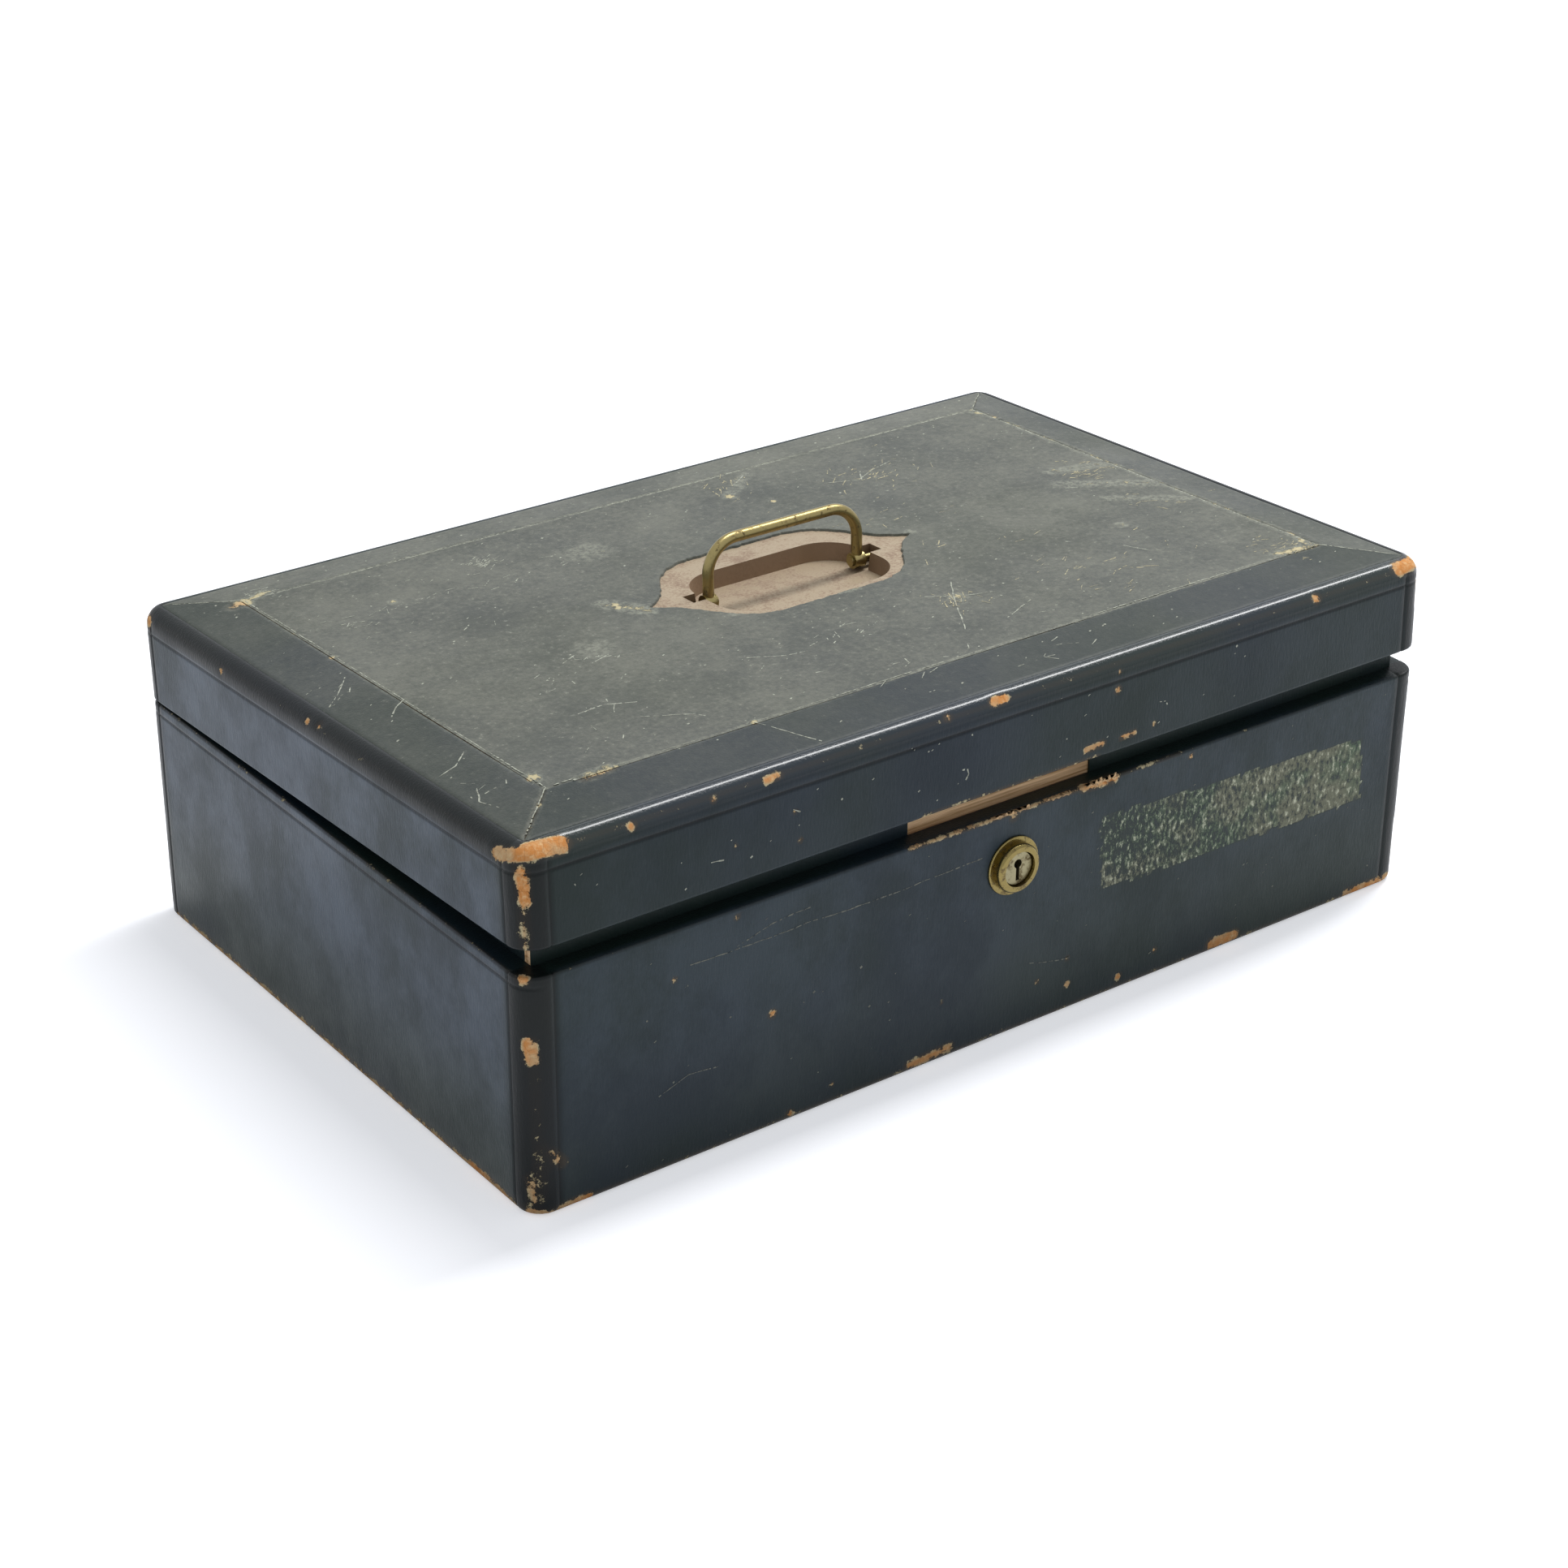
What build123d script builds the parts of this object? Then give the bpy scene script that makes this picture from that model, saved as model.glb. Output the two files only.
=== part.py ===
from build123d import *
import os

# Leather-covered writing box, in millimetres. X runs along the front, Y from front to back, Z up.
# The origin is the middle of the face that the box rests on. The lid stands slightly ajar, as found.

# Box as a whole
box_length = 400.0
box_depth = 260.0
body_height = 90.0
lid_edge_height = 36.0
lid_ajar_angle = 2.0
lid_opening_angle = 95.0
closed_gap = 0.3
corner_radius = 9.0
leather = 1.0

# Body carcase
base_thickness = 6.0
wall_wood = 7.0
base_edge_round = 2.5
rim_round = 1.0
base_leather_inset = 10.0

# Inner liners, whose tops stand above the rim as the lip
liner_thickness = 4.0
lip_height = 8.0
lip_leather = 0.8
bare_lip_length = 82.0

# Linings
floor_lining_thickness = 0.8
wall_lining_thickness = 0.6
wall_lining_drop = 1.5
lining_cutout_gap = 0.6

# Lid
lid_wall_wood = 6.2
lid_edge_round = 6.2
lid_rim_round = 1.0
border_width = 22.3
panel_rise = 3.0
top_board_thickness = 10.0
lid_lining_thickness = 0.6
lid_lining_gap = 0.3

# Flush handle
handle_centre_y = 3.5
plate_tip_length = 8.5
plate_half_width = 31.5
plate_flat_half = 22.0
plate_shoulder_x = 42.5
plate_shoulder_y = 18.5
plate_cusp_x = 45.5
plate_cusp_y = 14.0
plate_shoulder_bow = 2.2
plate_ogee_bow = 1.1
plate_thickness = 2.5
plate_fit = 0.2
bail_pivot_y = 3.0
bail_pivot_depth = 3.2
bail_leg_spacing = 68.0
bail_rise = 22.6
bail_corner = 12.5
bail_rod_radius = 2.15
bail_eye_radius = 3.1
bail_eye_half_width = 2.4
pivot_pin_radius = 1.3
pivot_running_gap = 0.05
pin_seat_gap = 0.02
pin_head_radius = 2.0
pin_head_thickness = 0.8
pin_head_gap = 0.1
pan_depth = 7.0
pan_wall = 1.4
pan_clearance = 1.5
pan_rear_reach = 18.0
pan_draft = 8.0
ear_reach = 43.0
ear_half_width = 3.6
ear_boss_length = 4.5
pin_end_cover = 1.0
plate_screw_end_gap = 2.2
plate_screw_rear_x = 14.0
plate_screw_rear_y = 25.0
plate_screw_cover = 0.6

# Lock
lock_below_rim = 21.0
flange_radius = 11.2
flange_thickness = 0.9
ring_radius = 9.3
ring_height = 4.2
ring_lip_round = 1.3
shank_radius = 8.0
plug_radius = 6.6
plug_running_gap = 0.08
plug_recess = 1.4
plug_chamfer = 0.4
collar_radius = 7.6
collar_thickness = 1.5
keyhole_round_radius = 1.7
keyhole_slot_width = 1.5
keyhole_slot_length = 4.8
keyhole_depth = 8.0
case_half_length = 29.0
case_below_rim = 30.0
case_above_rim = 6.4
case_depth = 9.0
case_wall = 1.2
ear_plate_half_length = 37.0
ear_plate_below_rim = 24.0
ear_plate_height = 24.0
ear_screw_x = 33.0
ear_screw_inset = 4.0
cap_post_radius = 2.8
cap_post_inset = 4.4
bolt_throw_radius = 4.0
bolt_thickness = 3.0
bolt_front_gap = 0.4
drive_pin_radius = 1.4
drive_pin_gap = 0.3
drive_pin_clear = 0.2
finger_thickness = 2.4
finger_height = 2.8
finger_reach = 5.1
upstand_width = 4.0
left_upstand_width = 2.5
bolt_bar_below_rim = 12.0
bolt_bar_height = 6.0
ledge_gap = 0.3
ledge_thickness = 2.0
left_ledge_end = -12.0
right_ledge_end = 9.0
tail_half_width = 4.3
tail_margin = 2.4

# Link plate in the lid, with the two staples that the bolt enters
staple_x = 16.0
staple_width = 3.0
staple_depth = 5.5
staple_tip_below_rim = 4.0
staple_foot = 2.0
staple_eye_gap = 0.4
staple_slot_gap = 0.6
link_gap = 0.6
link_thickness = 1.4
link_half_length = 26.0
link_leg_height = 13.0
link_corner_round = 4.0
link_screw_spacing = 18.0

# Hinges
hinge_end_distance = 75.0
hinge_length = 45.0
leaf_thickness = 1.2
leaf_front_gap = 1.0
leaf_pocket_gap = 0.2
knuckle_count = 5
knuckle_gap = 0.2
knuckle_radius = 2.8
knuckle_back_gap = 0.3
hinge_pin_radius = 1.2
hinge_running_gap = 0.05
stop_inner_gap = 0.3
stop_reach = 2.4
stop_thickness = 1.2
stop_spare_angle = 2.0
hinge_screw_spacing = 16.0

# Screws, as (shank radius, head radius, length)
hinge_screw = (1.1, 2.1, 12.0)
case_screw = (1.2, 2.2, 8.0)
cap_screw = (0.8, 1.5, 5.0)
link_screw = (1.1, 2.1, 6.0)
plate_screw_shank = 1.3
plate_screw_head = 2.3
screw_gap = 0.05
screw_slot_width = 0.5
screw_slot_depth = 0.5

# How far a cut runs past the face that it opens
cut_overrun = 1.0

# Places that follow from the sizes
half_length = box_length / 2
half_depth = box_depth / 2
carcase_half_length = half_length - leather
carcase_half_depth = half_depth - leather
inside_half_length = carcase_half_length - wall_wood
inside_half_depth = carcase_half_depth - wall_wood
floor_top = leather + base_thickness
carcase_top = body_height - leather
liner_half_length = inside_half_length - liner_thickness
liner_half_depth = inside_half_depth - liner_thickness
lip_top = body_height + lip_height

lid_rim = body_height + closed_gap
lid_edge = lid_rim + lid_edge_height
lid_panel = lid_edge + panel_rise
lid_wood_bottom = lid_rim + leather
lid_panel_wood = lid_panel - leather
lid_ceiling = lid_panel_wood - top_board_thickness
lid_inside_half_length = carcase_half_length - lid_wall_wood
lid_inside_half_depth = carcase_half_depth - lid_wall_wood
panel_inset = lid_edge_round + border_width

hinge_x = half_length - hinge_end_distance
hinge_y = half_depth + knuckle_back_gap + knuckle_radius
hinge_z = body_height + closed_gap / 2
leaf_front = lid_inside_half_depth + leaf_front_gap
leaf_back = half_depth - leaf_pocket_gap / 2

plate_top = lid_panel_wood
plate_screw_end_x = ear_reach + ear_boss_length + plate_screw_end_gap + plate_screw_head
plate_half_length = plate_screw_end_x + plate_tip_length
plate_underside = plate_top - plate_thickness
bail_pivot_z = plate_top - bail_pivot_depth
leg_x = bail_leg_spacing / 2
pan_half_length = leg_x + bail_rod_radius + pan_clearance
pan_front_reach = bail_rise + bail_rod_radius + pan_clearance
pan_corner = bail_corner + bail_rod_radius + pan_clearance

lock_height = body_height - lock_below_rim
case_bottom = body_height - case_below_rim
case_top = body_height + case_above_rim
case_front = -liner_half_depth
ear_plate_low = body_height - ear_plate_below_rim
ear_plate_top = ear_plate_low + ear_plate_height
case_back = case_front + case_depth
case_inner_front = case_front + case_wall
case_inner_back = case_back - case_wall
case_inner_top = case_top - case_wall
collar_back = case_inner_front + collar_thickness + plug_running_gap
bolt_front = collar_back + bolt_front_gap
bolt_back = bolt_front + bolt_thickness
bolt_middle_y = (bolt_front + bolt_back) / 2
bolt_bar_low = body_height - bolt_bar_below_rim
bolt_bar_high = bolt_bar_low + bolt_bar_height
bolt_travel = bolt_throw_radius * 2 ** 0.5
drive_pin_rest = bolt_travel / 2
tail_x = -drive_pin_rest
drive_pin_low = lock_height + drive_pin_rest
drive_pin_high = lock_height + bolt_throw_radius
staple_tip_height = body_height - staple_tip_below_rim
finger_low = staple_tip_height + staple_foot + staple_eye_gap
finger_high = finger_low + finger_height
link_bottom = lip_top + link_gap


def block(x_range, y_range, z_range):
    """A rectangular block between two places along each axis."""
    spans = (x_range, y_range, z_range)
    size = [high - low for low, high in spans]
    corner = [low for low, high in spans]
    return Pos(*corner) * Box(*size, align=(Align.MIN, Align.MIN, Align.MIN))


def centred_block(half_x, half_y, z_range):
    """A block that is centred on the box's upright axis."""
    return block((-half_x, half_x), (-half_y, half_y), z_range)


def rounded_block(half_x, half_y, z_range, corner, bottom_round, top_round):
    """A block with round upright corners and rounded bottom and top edges."""
    low, high = z_range
    outline = RectangleRounded(2 * half_x, 2 * half_y, corner)
    body = Pos(0, 0, low) * extrude(outline, high - low)
    if bottom_round:
        body = fillet(body.faces().sort_by(Axis.Z)[0].edges(), bottom_round)
    if top_round:
        body = fillet(body.faces().sort_by(Axis.Z)[-1].edges(), top_round)
    return body


def frustum(half_x, half_y, z_range, inset):
    """The sloping border and flat panel: a rectangle that narrows on its way up."""
    low, high = z_range
    wide = Pos(0, 0, low) * Rectangle(2 * half_x, 2 * half_y)
    narrow = Pos(0, 0, high) * Rectangle(2 * (half_x - inset), 2 * (half_y - inset))
    return loft([wide, narrow])


def along_x(radius, x_range, y, z):
    """A round bar along X between two places."""
    low, high = x_range
    bar = Cylinder(radius, high - low, align=(Align.CENTER, Align.CENTER, Align.MIN))
    return Pos(low, y, z) * Rot(0, 90, 0) * bar


def countersunk(shank, head, length, gap=0.0):
    """A countersunk screw below the origin, or the space for one where a gap is given."""
    cone_depth = head - shank
    cone = Pos(0, 0, -cone_depth) * Cone(
        shank + gap, head + gap, cone_depth, align=(Align.CENTER, Align.CENTER, Align.MIN)
    )
    full_length = length + gap
    stem = Pos(0, 0, -full_length) * Cylinder(
        shank + gap, full_length, align=(Align.CENTER, Align.CENTER, Align.MIN)
    )
    return cone + stem


def screw(shank, head, length):
    """A countersunk screw with a driver slot."""
    half_slot = screw_slot_width / 2
    slot = block((-head, head), (-half_slot, half_slot), (-screw_slot_depth, 1))
    return countersunk(shank, head, length) - slot


def screw_space(shank, head, length):
    """The hole and countersink that a screw sits in."""
    return countersunk(shank, head, length, screw_gap)


def group(shapes):
    """Several separate solids kept in one node."""
    return Compound(children=[solid for shape in shapes for solid in shape.solids()])


def ajar(shape):
    """Turn a closed-lid shape about the hinge pins to the angle at which the lid rests."""
    return Pos(0, hinge_y, hinge_z) * Rot(-lid_ajar_angle, 0, 0) * Pos(0, -hinge_y, -hinge_z) * shape


def save(name, shape):
    """Write one node."""
    export_step(shape, f"parts/{name}.step")


# Screw places, each a location whose origin is the head's top and whose -Z is the screw's way in

def hinge_screw_places(z, facing):
    """Three places on each hinge leaf; facing is 0 for screws that go down and 180 for up."""
    y = (leaf_front + leaf_back) / 2
    return [
        Pos(side * hinge_x + step * hinge_screw_spacing, y, z) * Rot(facing, 0, 0)
        for side in (-1, 1)
        for step in (-1, 0, 1)
    ]


def case_screw_places():
    heights = (ear_plate_low + ear_screw_inset, ear_plate_top - ear_screw_inset)
    return [
        Pos(side * ear_screw_x, case_inner_front, z) * Rot(-90, 0, 0)
        for side in (-1, 1)
        for z in heights
    ]


def cap_screw_places():
    x = case_half_length - cap_post_inset
    z = case_bottom + cap_post_inset
    return [Pos(side * x, case_back, z) * Rot(-90, 0, 0) for side in (-1, 1)]


def link_screw_places():
    y = -lid_inside_half_depth + link_thickness
    z = link_bottom + (link_leg_height + link_thickness) / 2
    return [Pos(step * link_screw_spacing, y, z) * Rot(-90, 0, 0) for step in (-1, 0, 1)]


def plate_screw_places():
    ends = [(side * plate_screw_end_x, handle_centre_y) for side in (-1, 1)]
    rear = [(side * plate_screw_rear_x, handle_centre_y + plate_screw_rear_y) for side in (-1, 1)]
    return [Pos(x, y, lid_ceiling) * Rot(180, 0, 0) for x, y in ends + rear]


def plate_screw_sizes():
    length = plate_top - plate_screw_cover - lid_ceiling
    return plate_screw_shank, plate_screw_head, length


def with_holes(shape, places, sizes):
    """Cut the space of a screw at each place."""
    for place in places:
        shape -= place * screw_space(*sizes)
    return shape


def screws(places, sizes):
    """One screw at each place."""
    return [place * screw(*sizes) for place in places]


# Body carcase and its leather

def carcase():
    corner = corner_radius - leather
    bottom_round = base_edge_round - leather
    return rounded_block(
        carcase_half_length, carcase_half_depth, (leather, carcase_top), corner, bottom_round, 0
    )


def nozzle_hole():
    """The round way through front leather, front board and front liner."""
    radius = shank_radius + screw_gap
    hole = Cylinder(radius, box_depth / 4, align=(Align.CENTER, Align.CENTER, Align.MIN))
    return Pos(0, case_front, lock_height) * Rot(90, 0, 0) * hole


def leaf_pocket(z_range):
    """The space let into the back rim for both hinges' leaves."""
    half = hinge_length / 2 + leaf_pocket_gap
    y_range = (leaf_front - leaf_pocket_gap, half_depth + cut_overrun)
    left = block((-hinge_x - half, -hinge_x + half), y_range, z_range)
    right = block((hinge_x - half, hinge_x + half), y_range, z_range)
    return left + right


def body_boards():
    whole = carcase()
    upright = (floor_top, carcase_top)
    reach = half_length
    front = whole & block((-reach, reach), (-half_depth, -inside_half_depth), upright)
    back = whole & block((-reach, reach), (inside_half_depth, half_depth), upright)
    left = whole & block((-reach, -inside_half_length), (-inside_half_depth, inside_half_depth), upright)
    right = whole & block((inside_half_length, reach), (-inside_half_depth, inside_half_depth), upright)
    bottom = whole & centred_block(reach, reach, (leather, floor_top))
    back -= leaf_pocket((body_height - leaf_thickness, body_height))
    back = with_holes(back, hinge_screw_places(body_height, 0), hinge_screw)
    front -= nozzle_hole()
    front = with_holes(front, case_screw_places(), case_screw)
    save("bottom_board", bottom)
    save("front_board", front)
    save("back_board", back)
    save("left_board", left)
    save("right_board", right)


def body_skins():
    outer = rounded_block(
        half_length, half_depth, (0, body_height), corner_radius, base_edge_round, rim_round
    )
    base = rounded_block(
        half_length - base_leather_inset,
        half_depth - base_leather_inset,
        (0, leather),
        corner_radius,
        0,
        0,
    )
    mouth = centred_block(inside_half_length, inside_half_depth, (floor_top, body_height + cut_overrun))
    skin = outer - carcase() - mouth - base
    skin -= nozzle_hole()
    skin -= leaf_pocket((body_height - leaf_thickness, body_height + cut_overrun))
    save("body_leather", skin)
    save("base_leather", base)


# Liners, lip and linings

def liner(x_range, y_range, outward):
    """A liner board; above the rim its outer face steps back to take the lip's leather."""
    board = block(x_range, y_range, (floor_top, lip_top - lip_leather))
    step_z = (body_height - leather, lip_top)
    x_step, y_step = outward
    step = Pos(x_step * liner_thickness, y_step * liner_thickness, 0) * block(x_range, y_range, step_z)
    return board - Pos(-x_step * lip_leather, -y_step * lip_leather, 0) * step


def lip_cover(x_range, y_range, outward):
    """The leather over the lip: down its outer face to the rim and across its top."""
    x_step, y_step = outward
    whole = block(x_range, y_range, (body_height - leather, lip_top))
    inner = Pos(-x_step * lip_leather, -y_step * lip_leather, -lip_leather) * block(
        x_range, y_range, (body_height - leather - cut_overrun, lip_top)
    )
    return whole - inner


def liners_and_lip():
    along = (-inside_half_length, inside_half_length)
    front_y = (-inside_half_depth, -liner_half_depth)
    back_y = (liner_half_depth, inside_half_depth)
    across = (-liner_half_depth, liner_half_depth)
    left_x = (-inside_half_length, -liner_half_length)
    right_x = (liner_half_length, inside_half_length)
    front = liner(along, front_y, (0, -1)) - nozzle_hole()
    front = with_holes(front, case_screw_places(), case_screw)
    save("front_liner", front)
    save("back_liner", liner(along, back_y, (0, 1)))
    save("left_liner", liner(left_x, across, (-1, 0)))
    save("right_liner", liner(right_x, across, (1, 0)))
    bare = bare_lip_length / 2
    save("lip_leather_front_left", lip_cover((along[0], -bare), front_y, (0, -1)))
    save("lip_leather_front_right", lip_cover((bare, along[1]), front_y, (0, -1)))
    save("lip_leather_back", lip_cover(along, back_y, (0, 1)))
    save("lip_leather_left", lip_cover(left_x, across, (-1, 0)))
    save("lip_leather_right", lip_cover(right_x, across, (1, 0)))


def body_linings():
    floor = (floor_top, floor_top + floor_lining_thickness)
    wall = (floor[1], lip_top - lip_leather - wall_lining_drop)
    x, y = liner_half_length, liner_half_depth
    t = wall_lining_thickness
    cutout = lining_cutout_gap
    lock_space = block(
        (-ear_plate_half_length - cutout, ear_plate_half_length + cutout),
        (-y - cut_overrun, -y + cut_overrun + t),
        (case_bottom - cutout, lip_top),
    )
    save("floor_lining", centred_block(x, y, floor))
    save("front_lining", block((-x, x), (-y, -y + t), wall) - lock_space)
    save("back_lining", block((-x, x), (y - t, y), wall))
    save("left_lining", block((-x, -x + t), (-y + t, y - t), wall))
    save("right_lining", block((x - t, x), (-y + t, y - t), wall))


# Lid

def lid_wood():
    """The lid's wooden form with its bevelled border and raised panel."""
    edge_round = lid_edge_round - leather
    slab = rounded_block(
        carcase_half_length,
        carcase_half_depth,
        (lid_wood_bottom, lid_edge - leather),
        corner_radius - leather,
        0,
        edge_round,
    )
    top = frustum(
        half_length - lid_edge_round,
        half_depth - lid_edge_round,
        (lid_edge - leather, lid_panel_wood),
        border_width,
    )
    return slab + top


def lid_boards():
    whole = lid_wood()
    upright = (lid_wood_bottom, lid_ceiling)
    reach = half_length
    x, y = lid_inside_half_length, lid_inside_half_depth
    front = whole & block((-reach, reach), (-half_depth, -y), upright)
    back = whole & block((-reach, reach), (y, half_depth), upright)
    left = whole & block((-reach, -x), (-y, y), upright)
    right = whole & block((x, reach), (-y, y), upright)
    top = whole & centred_block(reach, reach, (lid_ceiling, lid_panel + cut_overrun))
    front = with_holes(front, link_screw_places(), link_screw)
    back -= leaf_pocket((lid_rim, lid_rim + leaf_thickness))
    back = with_holes(back, hinge_screw_places(lid_rim, 180), hinge_screw)
    top -= handle_mortise()
    top = with_holes(top, plate_screw_places(), plate_screw_sizes())
    save("lid_top_board", ajar(top))
    save("lid_front_rail", ajar(front))
    save("lid_back_rail", ajar(back))
    save("lid_left_rail", ajar(left))
    save("lid_right_rail", ajar(right))
    x, y = x - lid_lining_gap, y - lid_lining_gap
    lining = centred_block(x, y, (lid_ceiling - lid_lining_thickness, lid_ceiling))
    save("lid_lining", ajar(lining))


def border_strip(side):
    """The plan of one mitred border strip, as a prism through the lid's top."""
    wide_x, wide_y = half_length - lid_edge_round, half_depth - lid_edge_round
    narrow_x, narrow_y = half_length - panel_inset, half_depth - panel_inset
    plans = {
        "front": [(-wide_x, -wide_y), (wide_x, -wide_y), (narrow_x, -narrow_y), (-narrow_x, -narrow_y)],
        "back": [(-wide_x, wide_y), (wide_x, wide_y), (narrow_x, narrow_y), (-narrow_x, narrow_y)],
        "left": [(-wide_x, -wide_y), (-wide_x, wide_y), (-narrow_x, narrow_y), (-narrow_x, -narrow_y)],
        "right": [(wide_x, -wide_y), (wide_x, wide_y), (narrow_x, narrow_y), (narrow_x, -narrow_y)],
    }
    plan = make_face(Polyline(*plans[side], close=True))
    depth = panel_rise + 2 * leather
    return Pos(0, 0, lid_edge - 2 * leather) * extrude(plan, depth + leather, dir=(0, 0, 1))


def lid_skins():
    wide_x, wide_y = half_length - lid_edge_round, half_depth - lid_edge_round
    narrow_x, narrow_y = half_length - panel_inset, half_depth - panel_inset
    slab = rounded_block(
        half_length, half_depth, (lid_rim, lid_edge), corner_radius, lid_rim_round, lid_edge_round
    )
    wood = lid_wood()
    mouth = centred_block(
        lid_inside_half_length, lid_inside_half_depth, (lid_rim - cut_overrun, lid_ceiling)
    )
    top_area = centred_block(wide_x, wide_y, (lid_ceiling, lid_panel + cut_overrun))
    side = slab - wood - mouth - top_area
    side -= leaf_pocket((lid_rim - cut_overrun, lid_rim + leaf_thickness))
    save("lid_side_leather", ajar(side))

    top = centred_block(wide_x, wide_y, (lid_edge - leather, lid_edge))
    top += frustum(wide_x, wide_y, (lid_edge, lid_panel), border_width)
    top -= frustum(wide_x, wide_y, (lid_edge - leather, lid_panel_wood), border_width)
    panel_area = centred_block(narrow_x, narrow_y, (lid_edge, lid_panel + cut_overrun))
    for side_name in ("front", "back", "left", "right"):
        strip = (top & border_strip(side_name)) - panel_area
        save(f"lid_border_{side_name}", ajar(strip))
    hole = Pos(0, 0, lid_edge) * extrude(offset(plate_outline(), plate_fit), panel_rise + cut_overrun)
    save("lid_panel_leather", ajar((top & panel_area) - hole))


# Handle

def bowed(start, end, bow):
    """The middle of a stretch of outline, moved outward along both axes."""
    return (start[0] + end[0]) / 2 + bow, (start[1] + end[1]) / 2 + bow


def plate_outline():
    """Flush plate with a flat front and back, round shoulders and ogee ends that run to a point."""
    middle = (plate_flat_half, plate_half_width)
    shoulder = (plate_shoulder_x, plate_shoulder_y)
    cusp = (plate_cusp_x, plate_cusp_y)
    tip = (plate_half_length, 0)
    bulge = bowed(middle, shoulder, plate_shoulder_bow)
    hollow = bowed(cusp, tip, -plate_ogee_bow)
    quarter = Curve() + [
        Line((0, middle[1]), middle),
        ThreePointArc(middle, bulge, shoulder),
        Line(shoulder, cusp),
        ThreePointArc(cusp, hollow, tip),
    ]
    half = quarter + mirror(quarter, Plane.YZ)
    whole = half + mirror(half, Plane.XZ)
    return Pos(0, handle_centre_y) * make_face(Wire(whole.edges()))


def pan_plan(grow):
    """Plan of the dished pan, with a folded bail's outline at the front."""
    depth = pan_front_reach + pan_rear_reach + 2 * grow
    middle_y = bail_pivot_y + (pan_rear_reach - pan_front_reach) / 2
    plan = RectangleRounded(2 * (pan_half_length + grow), depth, pan_corner + grow)
    return Pos(0, middle_y) * plan


def tapered_pan(grow, depth):
    """The pan's form from the plate's top down, narrower at its floor."""
    form = extrude(pan_plan(grow), -depth, taper=pan_draft)
    return Pos(0, 0, plate_top) * form


def ears(half_x, half_y, depth):
    """The straight pocket along the pivot line, or the block around it."""
    y_range = (bail_pivot_y - half_y, bail_pivot_y + half_y)
    return block((-half_x, half_x), y_range, (plate_top - depth, plate_top))


def handle_mortise():
    """The space in the lid's top board for plate, pan and pivot bosses."""
    outline = offset(plate_outline(), plate_fit)
    plate = Pos(0, 0, plate_underside) * extrude(outline, plate_thickness + cut_overrun)
    below = plate_top - pan_depth - pan_wall - plate_fit
    pan = Pos(0, 0, below) * extrude(pan_plan(pan_wall + plate_fit), plate_top - below)
    ear = ears(
        ear_reach + ear_boss_length + plate_fit,
        ear_half_width + pan_wall + plate_fit,
        pan_depth + pan_wall + plate_fit,
    )
    return plate + pan + ear


def pin_bore(side, radius):
    """A pivot pin's hole in the boss at one end of the pan."""
    far = ear_reach + ear_boss_length - pin_end_cover
    span = (ear_reach - cut_overrun, far) if side > 0 else (-far, -ear_reach + cut_overrun)
    return along_x(radius, span, bail_pivot_y, bail_pivot_z)


def handle_plate():
    plate = Pos(0, 0, plate_underside) * extrude(plate_outline(), plate_thickness)
    plate += tapered_pan(pan_wall, pan_depth + pan_wall)
    plate += ears(
        ear_reach + ear_boss_length, ear_half_width + pan_wall, pan_depth + pan_wall
    )
    plate -= tapered_pan(0, pan_depth)
    plate -= ears(ear_reach, ear_half_width, pan_depth)
    for side in (-1, 1):
        plate -= pin_bore(side, pivot_pin_radius + pin_seat_gap)
    plate = with_holes(plate, plate_screw_places(), plate_screw_sizes())
    save("handle_plate", ajar(plate))


def handle_bail():
    """A round rod bent to a bail, with an eye at each foot."""
    path = FilletPolyline(
        (-leg_x, 0, 0), (-leg_x, 0, bail_rise), (leg_x, 0, bail_rise), (leg_x, 0, 0), radius=bail_corner
    )
    start = Plane(origin=(-leg_x, 0, 0), z_dir=(0, 0, 1))
    rod = sweep(start * Circle(bail_rod_radius), path)
    bail = rod
    for side in (-1, 1):
        span = (side * leg_x - bail_eye_half_width, side * leg_x + bail_eye_half_width)
        bail += along_x(bail_eye_radius, span, 0, 0)
    for side in (-1, 1):
        span = (side * leg_x - 2 * bail_eye_half_width, side * leg_x + 2 * bail_eye_half_width)
        bail -= along_x(pivot_pin_radius + pivot_running_gap, span, 0, 0)
    save("handle_bail", ajar(Pos(0, bail_pivot_y, bail_pivot_z) * bail))


def handle_pins():
    """Two pins, each from a boss through the ear and the bail's eye to a head inside the leg."""
    pins = []
    far = ear_reach + ear_boss_length - pin_end_cover - pin_seat_gap
    near = leg_x - bail_eye_half_width - pin_head_gap
    for side in (-1, 1):
        stem_span = sorted((side * near, side * far))
        head_span = sorted((side * near, side * (near - pin_head_thickness)))
        stem = along_x(pivot_pin_radius, stem_span, bail_pivot_y, bail_pivot_z)
        head = along_x(pin_head_radius, head_span, bail_pivot_y, bail_pivot_z)
        pins.append(ajar(stem + head))
    save("handle_pivot_pins", group(pins))


# Lock

def lock_frame(shape):
    """Place a shape whose +Z points out of the front, with its origin on the front leather."""
    return Pos(0, -half_depth, lock_height) * Rot(90, 0, 0) * shape


def disc(radius, z_range):
    low, high = z_range
    return Pos(0, 0, low) * Cylinder(radius, high - low, align=(Align.CENTER, Align.CENTER, Align.MIN))


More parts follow.
